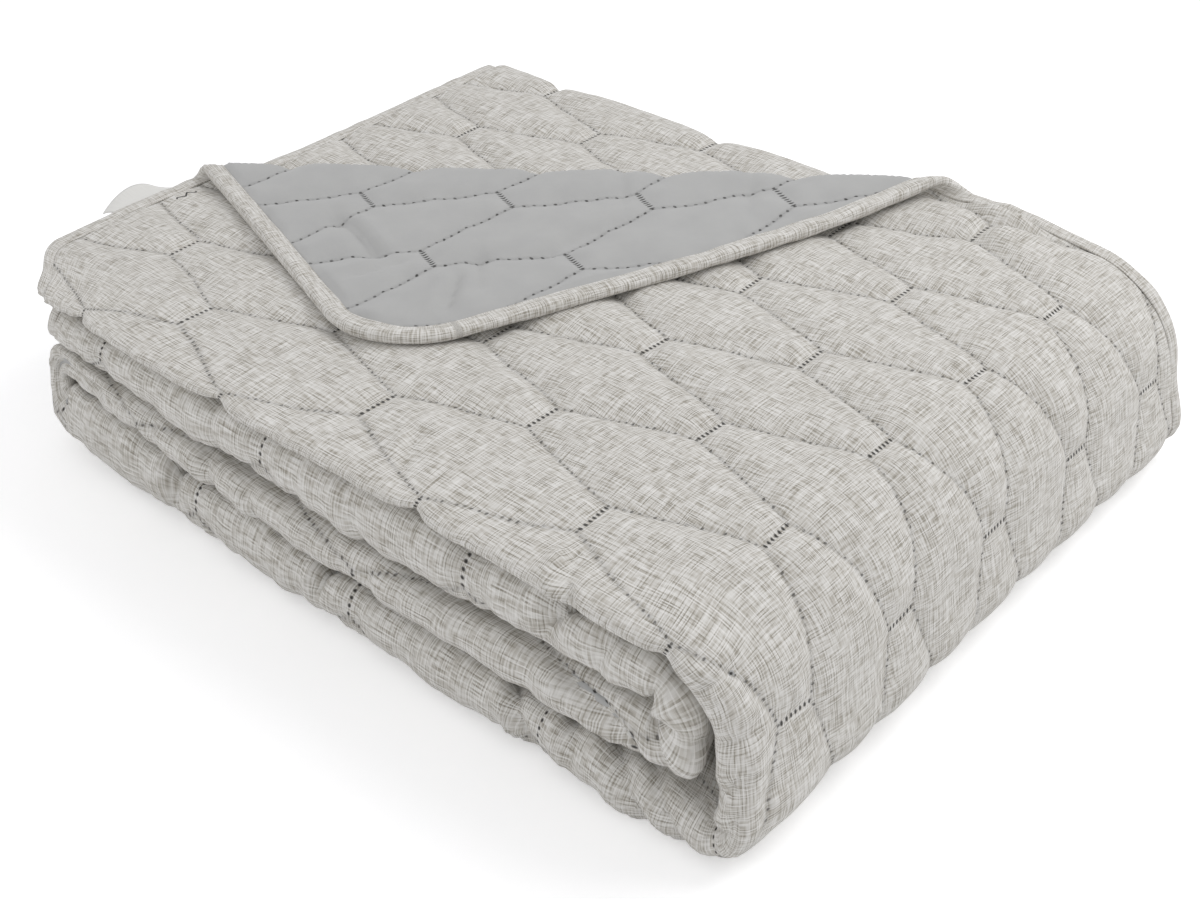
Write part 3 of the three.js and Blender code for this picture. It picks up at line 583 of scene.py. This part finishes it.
def cut_fine(s, t, is_face):
    """How often each square is halved: not at all where it is hidden and flat."""
    level = np.zeros(s.shape, int)
    areas = BEND_AREAS + FOLD_AREAS + EDGE_AREAS + (FACE_AREAS if is_face else [])
    for low_s, high_s, low_t, high_t, halved in areas:
        level[(s > low_s) & (s < high_s) & (t > low_t) & (t < high_t)] = halved
    q = to_turn(s, t)[1]
    flap = (q > FLAP_FROM) & (t < T_FRONT) & (s < FLAP_TO_S)
    if is_face:
        bared_q = to_turn(s, TOP_EDGE - (BACK_CENTRE - (t - T_MIDDLE)))[1]
        laid_bare = (t > LAID_BARE_FROM_T) & (s < LAID_BARE_TO_S) & (bared_q > LAID_BARE_FROM_Q)
        level[(t < TOP_TO_T) & (s < TOP_TO_S) & ~(flap & (q > FLAP_COVERS))] = IN_FULL_VIEW
        level[laid_bare] = IN_FULL_VIEW
    else:
        level[flap] = IN_FULL_VIEW
    return level


def square_middles(lines):
    steps = lines[::FINEST]
    return (steps[:-1] + steps[1:]) / 2


middle_s, middle_t = np.meshgrid(square_middles(TRUE_S), square_middles(TRUE_T), indexing="ij")
levels = {is_face: cut_fine(middle_s, middle_t, is_face) for is_face in (True, False)}
rim = np.zeros(middle_s.shape, bool)
rim[[0, -1]] = rim[:, [0, -1]] = True
levels[True] = np.where(rim, np.maximum(levels[True], levels[False]), levels[True])
levels[False] = np.where(rim, levels[True], levels[False])


def side_points(level, other, corner, way, size):
    """Points on one side of a small square, with a finer neighbour's own points added."""
    apart = size >> max(other - level, 0)
    return [(corner[0] + way[0] * k, corner[1] + way[1] * k) for k in range(0, size, apart)]


def surface_faces(level):
    """Every small square as a list of grid points, going round from s to t."""
    padded = np.pad(level, 1, mode="edge")
    faces = []
    for i in range(CELLS_S):
        for j in range(CELLS_T):
            own = level[i, j]
            around = (padded[i + 1, j], padded[i + 2, j + 1], padded[i + 1, j + 2], padded[i, j + 1])
            parts, size = 1 << own, FINEST >> own
            for a in range(parts):
                for b in range(parts):
                    i0, j0 = i * FINEST + a * size, j * FINEST + b * size
                    low_t = around[0] if b == 0 else own
                    high_s = around[1] if a == parts - 1 else own
                    high_t = around[2] if b == parts - 1 else own
                    low_s = around[3] if a == 0 else own
                    faces.append(side_points(own, low_t, (i0, j0), (1, 0), size)
                                 + side_points(own, high_s, (i0 + size, j0), (0, 1), size)
                                 + side_points(own, high_t, (i0 + size, j0 + size), (-1, 0), size)
                                 + side_points(own, low_s, (i0, j0 + size), (0, -1), size))
    return faces


ROUNDED_TO = 160.0    # how far in along t the points are drawn in beside a rounded corner


def corner_inset(s):
    radius = CORNER_RADIUS - RAW_EDGE
    end = np.clip(np.minimum(s, LENGTH - s) - RAW_EDGE, 0, radius)
    return radius - np.sqrt(radius ** 2 - (radius - end) ** 2)


def flat_place(grid):
    """Grid points to flat places, drawn in along the sides where the corners are rounded."""
    s, t = TRUE_S[grid[:, 0]], TRUE_T[grid[:, 1]]
    inset = corner_inset(s)
    near_side, far_side = (1 - smooth(0, ROUNDED_TO, side) for side in (t, WIDTH - t))
    return s, t + inset * near_side - inset * far_side


FACE_SLOT, REVERSE_SLOT = 0, 1


def panel_mesh():
    """Face, reverse and the raw edge between them, and the flat place of every point."""
    points, faces, slots = [], [], []
    flat, number = {}, {}
    start = 0
    for is_face in (True, False):
        listed = surface_faces(levels[is_face])
        grid = np.unique(np.array([p for face in listed for p in face]), axis=0)
        number[is_face] = {tuple(p): start + k for k, p in enumerate(grid.tolist())}
        s, t = flat_place(grid)
        flat[is_face] = (s, t)
        points.append(lay(s, t, face_height(s, t) if is_face else -reverse_height(s, t)))
        for face in listed:
            ring = [number[is_face][p] for p in face]
            faces.append(ring[::-1] if is_face else ring)
        slots += [FACE_SLOT if is_face else REVERSE_SLOT] * len(listed)
        start += len(grid)
    top, under = number[True], number[False]
    last_s, last_t = CELLS_S * FINEST, CELLS_T * FINEST
    edges = [[(0, j) for j in range(last_t, -1, -1)], [(last_s, j) for j in range(last_t + 1)],
             [(i, 0) for i in range(last_s + 1)], [(i, last_t) for i in range(last_s, -1, -1)]]
    for edge in edges:
        edge = [p for p in edge if p in top]
        for a, b in zip(edge, edge[1:]):
            faces.append([top[a], top[b], under[b], under[a]])
            slots.append(REVERSE_SLOT)
    flat_s, flat_t = (np.concatenate([flat[True][k], flat[False][k]]) for k in (0, 1))
    return np.concatenate(points), faces, slots, flat_s, flat_t


def give_places(mesh, name, x, y):
    """Stores a place for each point as a UV layer, which the material reads."""
    layer = mesh.uv_layers.new(name=name)
    corners = np.zeros(len(mesh.loops), np.int32)
    mesh.loops.foreach_get("vertex_index", corners)
    layer.data.foreach_set("uv", np.stack([x[corners], y[corners]], -1).astype(np.float32).ravel())


def new_piece(name, points, faces, slots=None, materials=()):
    mesh = bpy.data.meshes.new(name)
    mesh.from_pydata([tuple(p) for p in points], [], faces)
    mesh.polygons.foreach_set("use_smooth", [True] * len(mesh.polygons))
    if slots is not None:
        mesh.polygons.foreach_set("material_index", slots)
    for material in materials:
        mesh.materials.append(material)
    piece = bpy.data.objects.new(name, mesh)
    scene.collection.objects.link(piece)
    return piece


# Linen-look polyester, plain weave, yarn-dyed in cream, grey and tan: fine slubby threads both
# ways, matt, and a little darker between them. Threads of this kind are about 0.4 mm, too fine to
# show, so they are drawn 0.6 mm wide.
THREADS = [(0.6, 9.0), (0.6, 28.0)]     # the width and length of short and of long slubs
STEP_ALONG, LAYER_APART = 0.01, 37.5    # in threads
LINEN_SHADES = [(0.34, "#979287"), (0.45, "#c0bcb4"), (0.54, "#d4d2cd"), (0.66, "#e4e2de")]


def woven_linen(tree, place):
    """Colour and height of the woven threads, from a place on the cloth in metres."""
    total, share = 0.0, 0.5 / len(THREADS)
    for k, (wide, long) in enumerate(THREADS + [sizes[::-1] for sizes in THREADS]):
        scale = (1 / (wide * MM), 1 / (long * MM), 1)
        at = add(tree, VECTOR_MATH, {0: place, 1: scale}, operation="MULTIPLY")
        step = (1.0, STEP_ALONG, 1.0) if wide < long else (STEP_ALONG, 1.0, 1.0)
        at = add(tree, VECTOR_MATH, {0: at, 1: step}, operation="SNAP")
        apart = (LAYER_APART * k + 0.5, LAYER_APART * k + 0.5, 0)
        at = add(tree, VECTOR_MATH, {0: at, 1: apart}, operation="ADD")
        tone = add(tree, NOISE, {"Vector": at, "Scale": 1.0, "Detail": 0.0}, noise_dimensions="2D")
        total = add(tree, MATH, {0: tone, 1: share, 2: total}, operation="MULTIPLY_ADD")
    ramp = add(tree, "ShaderNodeValToRGB", {"Fac": total}).node
    ends = ramp.color_ramp.elements
    for k, (at, shade) in enumerate(LINEN_SHADES):
        stop = ends[k] if k < 2 else ends.new(at)
        stop.position, stop.color = at, linear(shade)
    return ramp.outputs[0], total


# Each needle hole or thread is a dot, dark to its core and gone at its edge, both in shares of its
# half length and width. The dark of a needle hole is painted shade. A bar's last dot reaches a little
# past the bar's end.
DOT_EDGE, DOT_CORE = 1.25, 0.6
BAR_PAST, OUT_OF_REACH = 0.8, 9.0
STITCHES_PALE = dict(patches=0.26, low=0.38, high=0.6)      # patches in each millimetre
# Painted shade along each sewn line, where the cloth dips too sharply beside the thread for the mesh to carry
# it.
SEAM_SHADE = dict(reach=2.6, dark=0.18)
PUCKER_REACH = 6.0


def sewing_marks(tree, line_dots, bar_dots, palest):
    """How dark this point is painted, with thread, painted shade in the needle holes and painted shade along
    the sewn lines, and the pucker between the holes.
    """
    place = add(tree, "ShaderNodeUVMap", uv_map="quilting")
    part = add(tree, "ShaderNodeSeparateXYZ", {0: place}).node.outputs
    fold_s = add(tree, MATH, {0: part[0], 1: 1.0}, operation="PINGPONG")
    fold_t = add(tree, MATH, {0: part[1], 1: 1.0}, operation="PINGPONG")
    a = add(tree, MATH, {0: fold_s, 1: BAR_STEP}, operation="MULTIPLY")
    b = add(tree, MATH, {0: fold_t, 1: BAR_ROW}, operation="MULTIPLY")
    slant = add(tree, MATH, {0: a, 1: -LINE_SLOPE, 2: b}, operation="MULTIPLY_ADD")
    off = add(tree, MATH, {0: slant, 1: BAR_HALF}, operation="SUBTRACT")
    line = add(tree, MATH, {0: off, 1: LINE_COS}, operation="MULTIPLY")
    above = add(tree, MATH, {0: line, 1: 0.0}, operation="GREATER_THAN")
    far_a = add(tree, MATH, {0: BAR_STEP, 1: a}, operation="SUBTRACT")
    far_b = add(tree, MATH, {0: BAR_ROW, 1: b}, operation="SUBTRACT")
    a = add(tree, MIX, {0: above, 2: a, 3: far_a}, data_type="FLOAT")
    b = add(tree, MIX, {0: above, 2: b, 3: far_b}, data_type="FLOAT")
    along = add(tree, MATH, {0: a, 1: LINE_COS}, operation="DIVIDE")
    spread = add(tree, "ShaderNodeUVMap", uv_map="cloth")
    uneven = add(tree, NOISE, {"Vector": spread, "Scale": STITCHES_PALE["patches"] / MM, "Detail": 0.0},
                 noise_dimensions="2D")
    uneven = add(tree, MAP_RANGE, {"Value": uneven, "From Min": STITCHES_PALE["low"],
                                   "From Max": STITCHES_PALE["high"], "To Min": palest})
    marks = []
    for dots in line_dots + bar_dots:
        on_bar = dots in bar_dots
        way = b if on_bar else along
        shifted = add(tree, MATH, {0: way, 1: dots["shift"]}, operation="ADD")
        near = add(tree, MATH, {0: shifted, 1: dots["pitch"] / 2}, operation="PINGPONG")
        near = add(tree, MATH, {0: near, 1: dots["long"] / 2}, operation="DIVIDE")
        side = add(tree, MATH, {0: a if on_bar else line, 1: dots["wide"] / 2}, operation="DIVIDE")
        at = add(tree, "ShaderNodeCombineXYZ", {0: near, 1: side})
        radius = add(tree, VECTOR_MATH, {0: at}, operation="LENGTH").node.outputs["Value"]
        if on_bar:
            past = add(tree, MATH, {0: b, 1: BAR_HALF + BAR_PAST}, operation="GREATER_THAN")
            radius = add(tree, MATH, {0: past, 1: OUT_OF_REACH, 2: radius}, operation="MULTIPLY_ADD")
        mark = add(tree, MAP_RANGE, {"Value": radius, "From Min": DOT_EDGE, "From Max": DOT_CORE,
                                     "To Min": 0.0, "To Max": dots["dark"]})
        if not on_bar:
            mark = add(tree, MATH, {0: mark, 1: uneven}, operation="MULTIPLY")
        marks.append(mark)
    dark = marks[0]
    for mark in marks[1:]:
        dark = add(tree, MATH, {0: dark, 1: mark}, operation="MAXIMUM")
    distance = add(tree, MATH, {0: line}, operation="ABSOLUTE")
    # the painted shade along the sewn line, darkest on it and gone at SEAM_SHADE's reach
    shade = add(tree, MAP_RANGE, {"Value": distance, "From Min": 0.0, "From Max": SEAM_SHADE["reach"],
                                  "To Min": SEAM_SHADE["dark"], "To Max": 0.0})
    dark = add(tree, MATH, {0: dark, 1: shade}, operation="MAXIMUM")
    wave = add(tree, MATH, {0: along, 1: 2 * np.pi / line_dots[0]["pitch"]}, operation="MULTIPLY")
    wave = add(tree, MATH, {0: wave}, operation="COSINE")
    fade = add(tree, MAP_RANGE, {"Value": distance, "From Min": 0.0, "From Max": PUCKER_REACH,
                                 "To Min": 1.0, "To Max": 0.0})
    pucker = add(tree, MATH, {0: wave, 1: fade}, operation="MULTIPLY")
    return dark, pucker


SHEEN_ROUGHNESS, CLOTH_SPECULAR = 0.6, 0.2


def cloth_surface(tree, colour, height, roughness, sheen):
    """A matt woven surface. height is in millimetres."""
    raised = add(tree, MATH, {0: height, 1: MM}, operation="MULTIPLY")
    bump = add(tree, "ShaderNodeBump", {"Height": raised, "Strength": 1.0, "Distance": 1.0})
    shader = add(tree, "ShaderNodeBsdfPrincipled",
                 {"Base Color": colour, "Roughness": roughness, "Normal": bump, "Sheen Weight": sheen,
                  "Sheen Roughness": SHEEN_ROUGHNESS, "Specular IOR Level": CLOTH_SPECULAR})
    add(tree, "ShaderNodeOutputMaterial", {"Surface": shader})


# A short zigzag of dark thread tacks the label through to the face, just inside the binding.
TACK = dict(s=22.0, t=362.0, long=17.0, pitch=9.0, thread=0.9)

# In millimetres: the dots along the lines and on the bars of the face, and its relief.
FACE_LINE_DOTS = [dict(pitch=4.38, shift=0.0, long=1.7, wide=2.2, dark=0.75)]
FACE_BAR_DOTS = [dict(pitch=3.7, shift=0.0, long=1.9, wide=2.8, dark=0.95)]
FACE_PALEST = 0.3
THREAD_RISE, FACE_HOLE_DEEP, FACE_PUCKER_DEEP = 0.35, 0.8, 0.22
LINEN_ROUGHNESS, LINEN_SHEEN = 0.95, 0.15

face_linen, tree = new_material("linen_look_polyester_face")
place = add(tree, "ShaderNodeUVMap", uv_map="cloth")
weave, threads = woven_linen(tree, place)
stitches_and_painted_shade, pucker = sewing_marks(tree, FACE_LINE_DOTS, FACE_BAR_DOTS, FACE_PALEST)
part = add(tree, "ShaderNodeSeparateXYZ", {0: place}).node.outputs
down = add(tree, MATH, {0: part[1], 1: TACK["t"] * MM}, operation="SUBTRACT")
zigzag = add(tree, MATH, {0: part[1], 1: TACK["pitch"] * MM / 2}, operation="PINGPONG")
off = add(tree, MATH, {0: part[0], 1: TACK["s"] * MM}, operation="SUBTRACT")
off = add(tree, MATH, {0: off, 1: zigzag}, operation="SUBTRACT")
off = add(tree, MATH, {0: off}, operation="ABSOLUTE")
down = add(tree, MATH, {0: down}, operation="ABSOLUTE")
near = add(tree, MATH, {0: off, 1: TACK["thread"] * MM}, operation="LESS_THAN")
ends = add(tree, MATH, {0: down, 1: TACK["long"] * MM / 2}, operation="LESS_THAN")
tack = add(tree, MATH, {0: near, 1: ends}, operation="MULTIPLY")
stitches_and_painted_shade = add(tree, MATH, {0: stitches_and_painted_shade, 1: tack}, operation="MAXIMUM")
# Thread, painted shade in the needle holes and painted shade along the sewn lines darken the weave towards
# this colour.
colour = add(tree, MIX, {0: stitches_and_painted_shade, 6: weave, 7: linear("#2c2a26")}, data_type="RGBA").node.outputs[2]
height = add(tree, MATH, {0: threads, 1: THREAD_RISE}, operation="MULTIPLY")
height = add(tree, MATH, {0: stitches_and_painted_shade, 1: -FACE_HOLE_DEEP, 2: height}, operation="MULTIPLY_ADD")
height = add(tree, MATH, {0: pucker, 1: -FACE_PUCKER_DEEP, 2: height}, operation="MULTIPLY_ADD")
cloth_surface(tree, colour, height, LINEN_ROUGHNESS, LINEN_SHEEN)

# Brushed microfibre, plain weave, dyed mid grey: too fine to show threads, with a faint nap that
# clouds its colour a little. The needle holes show as bold dots of painted shade with a short dash
# between them.
REVERSE_LINE_DOTS = [dict(pitch=7.3, shift=0.0, long=2.6, wide=2.3, dark=1.0),
                     dict(pitch=7.3, shift=3.65, long=2.6, wide=1.0, dark=0.3)]
REVERSE_BAR_DOTS = [dict(pitch=2.9, shift=0.0, long=1.6, wide=4.0, dark=0.95)]
REVERSE_PALEST = 0.75
CLOUDS, CLOUD_DETAIL = 0.045, 4.0    # patches in each millimetre
NAP, NAP_DETAIL = 0.9, 2.0
NAP_RISE, REVERSE_HOLE_DEEP, REVERSE_PUCKER_DEEP = 0.06, 0.6, 0.12
NAPPED_ROUGHNESS, NAPPED_SHEEN = 0.9, 0.2

reverse_grey, tree = new_material("plain_microfibre_reverse")
place = add(tree, "ShaderNodeUVMap", uv_map="cloth")
cloud = add(tree, NOISE, {"Vector": place, "Scale": CLOUDS / MM, "Detail": CLOUD_DETAIL},
            noise_dimensions="2D")
grey = add(tree, MIX, {0: cloud, 6: linear("#a9a9a8"), 7: linear("#b3b3b1")},
           data_type="RGBA").node.outputs[2]
stitches_and_painted_shade, pucker = sewing_marks(tree, REVERSE_LINE_DOTS, REVERSE_BAR_DOTS, REVERSE_PALEST)
# Thread, painted shade in the needle holes and painted shade along the sewn lines darken the grey towards
# this colour.
colour = add(tree, MIX, {0: stitches_and_painted_shade, 6: grey, 7: linear("#33322f")}, data_type="RGBA").node.outputs[2]
nap = add(tree, NOISE, {"Vector": place, "Scale": NAP / MM, "Detail": NAP_DETAIL}, noise_dimensions="2D")
height = add(tree, MATH, {0: nap, 1: NAP_RISE}, operation="MULTIPLY")
height = add(tree, MATH, {0: stitches_and_painted_shade, 1: -REVERSE_HOLE_DEEP, 2: height}, operation="MULTIPLY_ADD")
height = add(tree, MATH, {0: pucker, 1: -REVERSE_PUCKER_DEEP, 2: height}, operation="MULTIPLY_ADD")
cloth_surface(tree, colour, height, NAPPED_ROUGHNESS, NAPPED_SHEEN)

points, faces, slots, flat_s, flat_t = panel_mesh()
panel = new_piece("quilted_panel_cloth", points, faces, slots, (face_linen, reverse_grey))
cloth_x, cloth_y = cloth_place(flat_s, flat_t)
give_places(panel.data, "cloth", cloth_x * MM, cloth_y * MM)
give_places(panel.data, "quilting", *sewn_place(flat_s, flat_t))
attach(panel, "root")
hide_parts("quilted_panel")


# ---- The edge binding -----------------------------------------------------------------------
# One strip of the same linen-look cloth, folded over the raw edge all round the quilt and sewn
# down through all the layers close to its inner edge.
BINDING_SECTION = [                  # depth in from the fold, and height over the sheet's middle
    (12.4, 2.1), (1.2, 2.1), (1.2, -2.1), (12.4, -2.1), (13.0, -2.6), (12.2, -3.4),
    (10.6, -3.2), (8.6, -3.9), (4.5, -4.1), (1.4, -3.5), (-0.1, -1.5), (-0.1, 1.5),
    (1.4, 3.5), (4.5, 4.1), (8.6, 3.9), (10.6, 3.2), (12.2, 3.4), (13.0, 2.6)]
OUTLINE_STEP = 4.5
SEWN_EDGE = dict(by=0.7, size=26, past=5)     # how the sewn edge wavers, past this depth
FULLNESS = dict(share=0.16, size=12, past=3)  # and how the strip swells, past this height


def outline():
    """Places round the quilt's outline, with the way in from the edge at each."""
    straight_s, straight_t = LENGTH - 2 * CORNER_RADIUS, WIDTH - 2 * CORNER_RADIUS
    quarter = np.pi * CORNER_RADIUS / 2
    places = []
    sides = [(CORNER_RADIUS, 0, 1, 0, straight_s), (LENGTH, CORNER_RADIUS, 0, 1, straight_t),
             (LENGTH - CORNER_RADIUS, WIDTH, -1, 0, straight_s),
             (0, WIDTH - CORNER_RADIUS, 0, -1, straight_t)]
    for s, t, way_s, way_t, length in sides:
        steps = np.linspace(0, length, int(length / OUTLINE_STEP), endpoint=False)
        places += [(s + way_s * k, t + way_t * k, -way_t, way_s) for k in steps]
        end_s, end_t = s + way_s * length, t + way_t * length
        middle_s, middle_t = end_s - way_t * CORNER_RADIUS, end_t + way_s * CORNER_RADIUS
        for k in np.linspace(0, 1, int(quarter / OUTLINE_STEP), endpoint=False):
            a = k * np.pi / 2
            in_s = -way_t * np.cos(a) - way_s * np.sin(a)
            in_t = way_s * np.cos(a) - way_t * np.sin(a)
            places.append((middle_s - CORNER_RADIUS * in_s, middle_t - CORNER_RADIUS * in_t, in_s, in_t))
    return np.array(places)


def ring_faces(rings, count):
    """Squares between each ring of points and the next, and from the last back to the first."""
    pairs = [(i * count, (i + 1) % rings * count) for i in range(rings)]
    return [(here + j, after + j, after + (j + 1) % count, here + (j + 1) % count)
            for here, after in pairs for j in range(count)]


round_quilt = outline()
step = np.hypot(*np.diff(round_quilt[:, :2], axis=0, append=round_quilt[:1, :2]).T)
run = np.concatenate([[0], np.cumsum(step)[:-1]])
section = np.array(BINDING_SECTION)
depth, raised = section[None, :, 0], section[None, :, 1]
waver = ripple(run, np.zeros_like(run), SEWN_EDGE["size"], "binding_depth")[:, None]
swell = ripple(run, np.zeros_like(run), FULLNESS["size"], "binding_swell")[:, None]
depth = depth + SEWN_EDGE["by"] * waver * (depth > SEWN_EDGE["past"])
raised = raised * (1 + FULLNESS["share"] * swell * (np.abs(raised) > FULLNESS["past"]))
edge_s = round_quilt[:, None, 0] + depth * round_quilt[:, None, 2]
edge_t = round_quilt[:, None, 1] + depth * round_quilt[:, None, 3]
points = lay(edge_s.ravel(), edge_t.ravel(), raised.ravel())

bound_linen, tree = new_material("linen_look_polyester_binding")
place = add(tree, "ShaderNodeUVMap", uv_map="cloth")
weave, threads = woven_linen(tree, place)
height = add(tree, MATH, {0: threads, 1: THREAD_RISE}, operation="MULTIPLY")
cloth_surface(tree, weave, height, LINEN_ROUGHNESS, LINEN_SHEEN)

rings, count = len(round_quilt), len(section)
binding = new_piece("edge_binding_cloth", points, ring_faces(rings, count), None, (bound_linen,))
girth = np.cumsum(np.hypot(*np.diff(section, axis=0, prepend=section[:1]).T))
give_places(binding.data, "cloth", np.repeat(run, count) * MM, np.tile(girth, rings) * MM)
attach(binding, "root")
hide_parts("edge_binding")


# ---- The care label -------------------------------------------------------------------------
# A blank white satin ribbon, one end caught under the binding at the uppermost end of the quilt,
# standing out of the edge, arched along it so that its two corners hang. It carries no print.
LABEL_WIDTH, LABEL_START, LABEL_OUT, LABEL_IN = 54.0, 347.0, 28.0, 9.0
LABEL_THICK, LABEL_RISE, LABEL_CURL, LABEL_UNDER = 0.8, 5.0, 13.0, -3.8
LABEL_WAVE = dict(by=0.8, size=20)
ROWS, COLUMNS = 22, 46

out = np.linspace(-LABEL_OUT, LABEL_IN, ROWS)
across = np.linspace(LABEL_START, LABEL_START + LABEL_WIDTH, COLUMNS)
label_s, label_t = (v.ravel() for v in np.meshgrid(out, across, indexing="ij"))
hang = np.clip(-label_s / LABEL_OUT, 0, 1) ** 2
side = 2 * (label_t - LABEL_START) / LABEL_WIDTH - 1
wave = LABEL_WAVE["by"] * ripple(label_t, label_s, LABEL_WAVE["size"], "label")
drop = hang * (LABEL_CURL * side ** 2 - LABEL_RISE + wave)
upper = lay(label_s, label_t, LABEL_UNDER - drop)
lower = lay(label_s, label_t, LABEL_UNDER - drop - LABEL_THICK)
count = ROWS * COLUMNS
faces = []
for row in range(ROWS - 1):
    for a in range(row * COLUMNS, (row + 1) * COLUMNS - 1):
        ring = (a, a + 1, a + 1 + COLUMNS, a + COLUMNS)
        faces += [ring, tuple(count + k for k in ring[::-1])]
edge = ([(0, j) for j in range(COLUMNS)] + [(i, COLUMNS - 1) for i in range(1, ROWS)]
        + [(ROWS - 1, j) for j in range(COLUMNS - 2, -1, -1)] + [(i, 0) for i in range(ROWS - 2, 0, -1)])
edge = [i * COLUMNS + j for i, j in edge]
faces += [(b, a, count + a, count + b) for a, b in zip(edge, edge[1:] + edge[:1])]

# Woven polyester satin, white: smoother than the quilt, with fine lines that run out from the
# sewn end.
SATIN_LINES = (0.06, 3.0, 1.0)       # in each millimetre, along and across them
SATIN_RISE, SATIN_ROUGHNESS, SATIN_SHEEN = 0.04, 0.5, 0.1

satin, tree = new_material("white_polyester_satin_ribbon")
place = add(tree, "ShaderNodeUVMap", uv_map="cloth")
at = add(tree, VECTOR_MATH, {0: place, 1: [lines / MM for lines in SATIN_LINES]}, operation="MULTIPLY")
grain = add(tree, NOISE, {"Vector": at, "Scale": 1.0, "Detail": 1.0}, noise_dimensions="2D")
height = add(tree, MATH, {0: grain, 1: SATIN_RISE}, operation="MULTIPLY")
colour = add(tree, MIX, {0: grain, 6: linear("#d8d7d3"), 7: linear("#e6e5e1")},
             data_type="RGBA").node.outputs[2]
cloth_surface(tree, colour, height, SATIN_ROUGHNESS, SATIN_SHEEN)

label = new_piece("care_label_ribbon", np.concatenate([upper, lower]), faces, None, (satin,))
give_places(label.data, "cloth", np.tile(label_s, 2) * MM, np.tile(label_t, 2) * MM)
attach(label, "root")
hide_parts("care_label")


# ---- Finish ---------------------------------------------------------------------------------
# The panel with its binding and label hangs from one body, folded and lying on the table.
# The sizes of the solids and of the drawn quilt are gathered side by side.
sizes = {"cad": cad_box, "visual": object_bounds()}
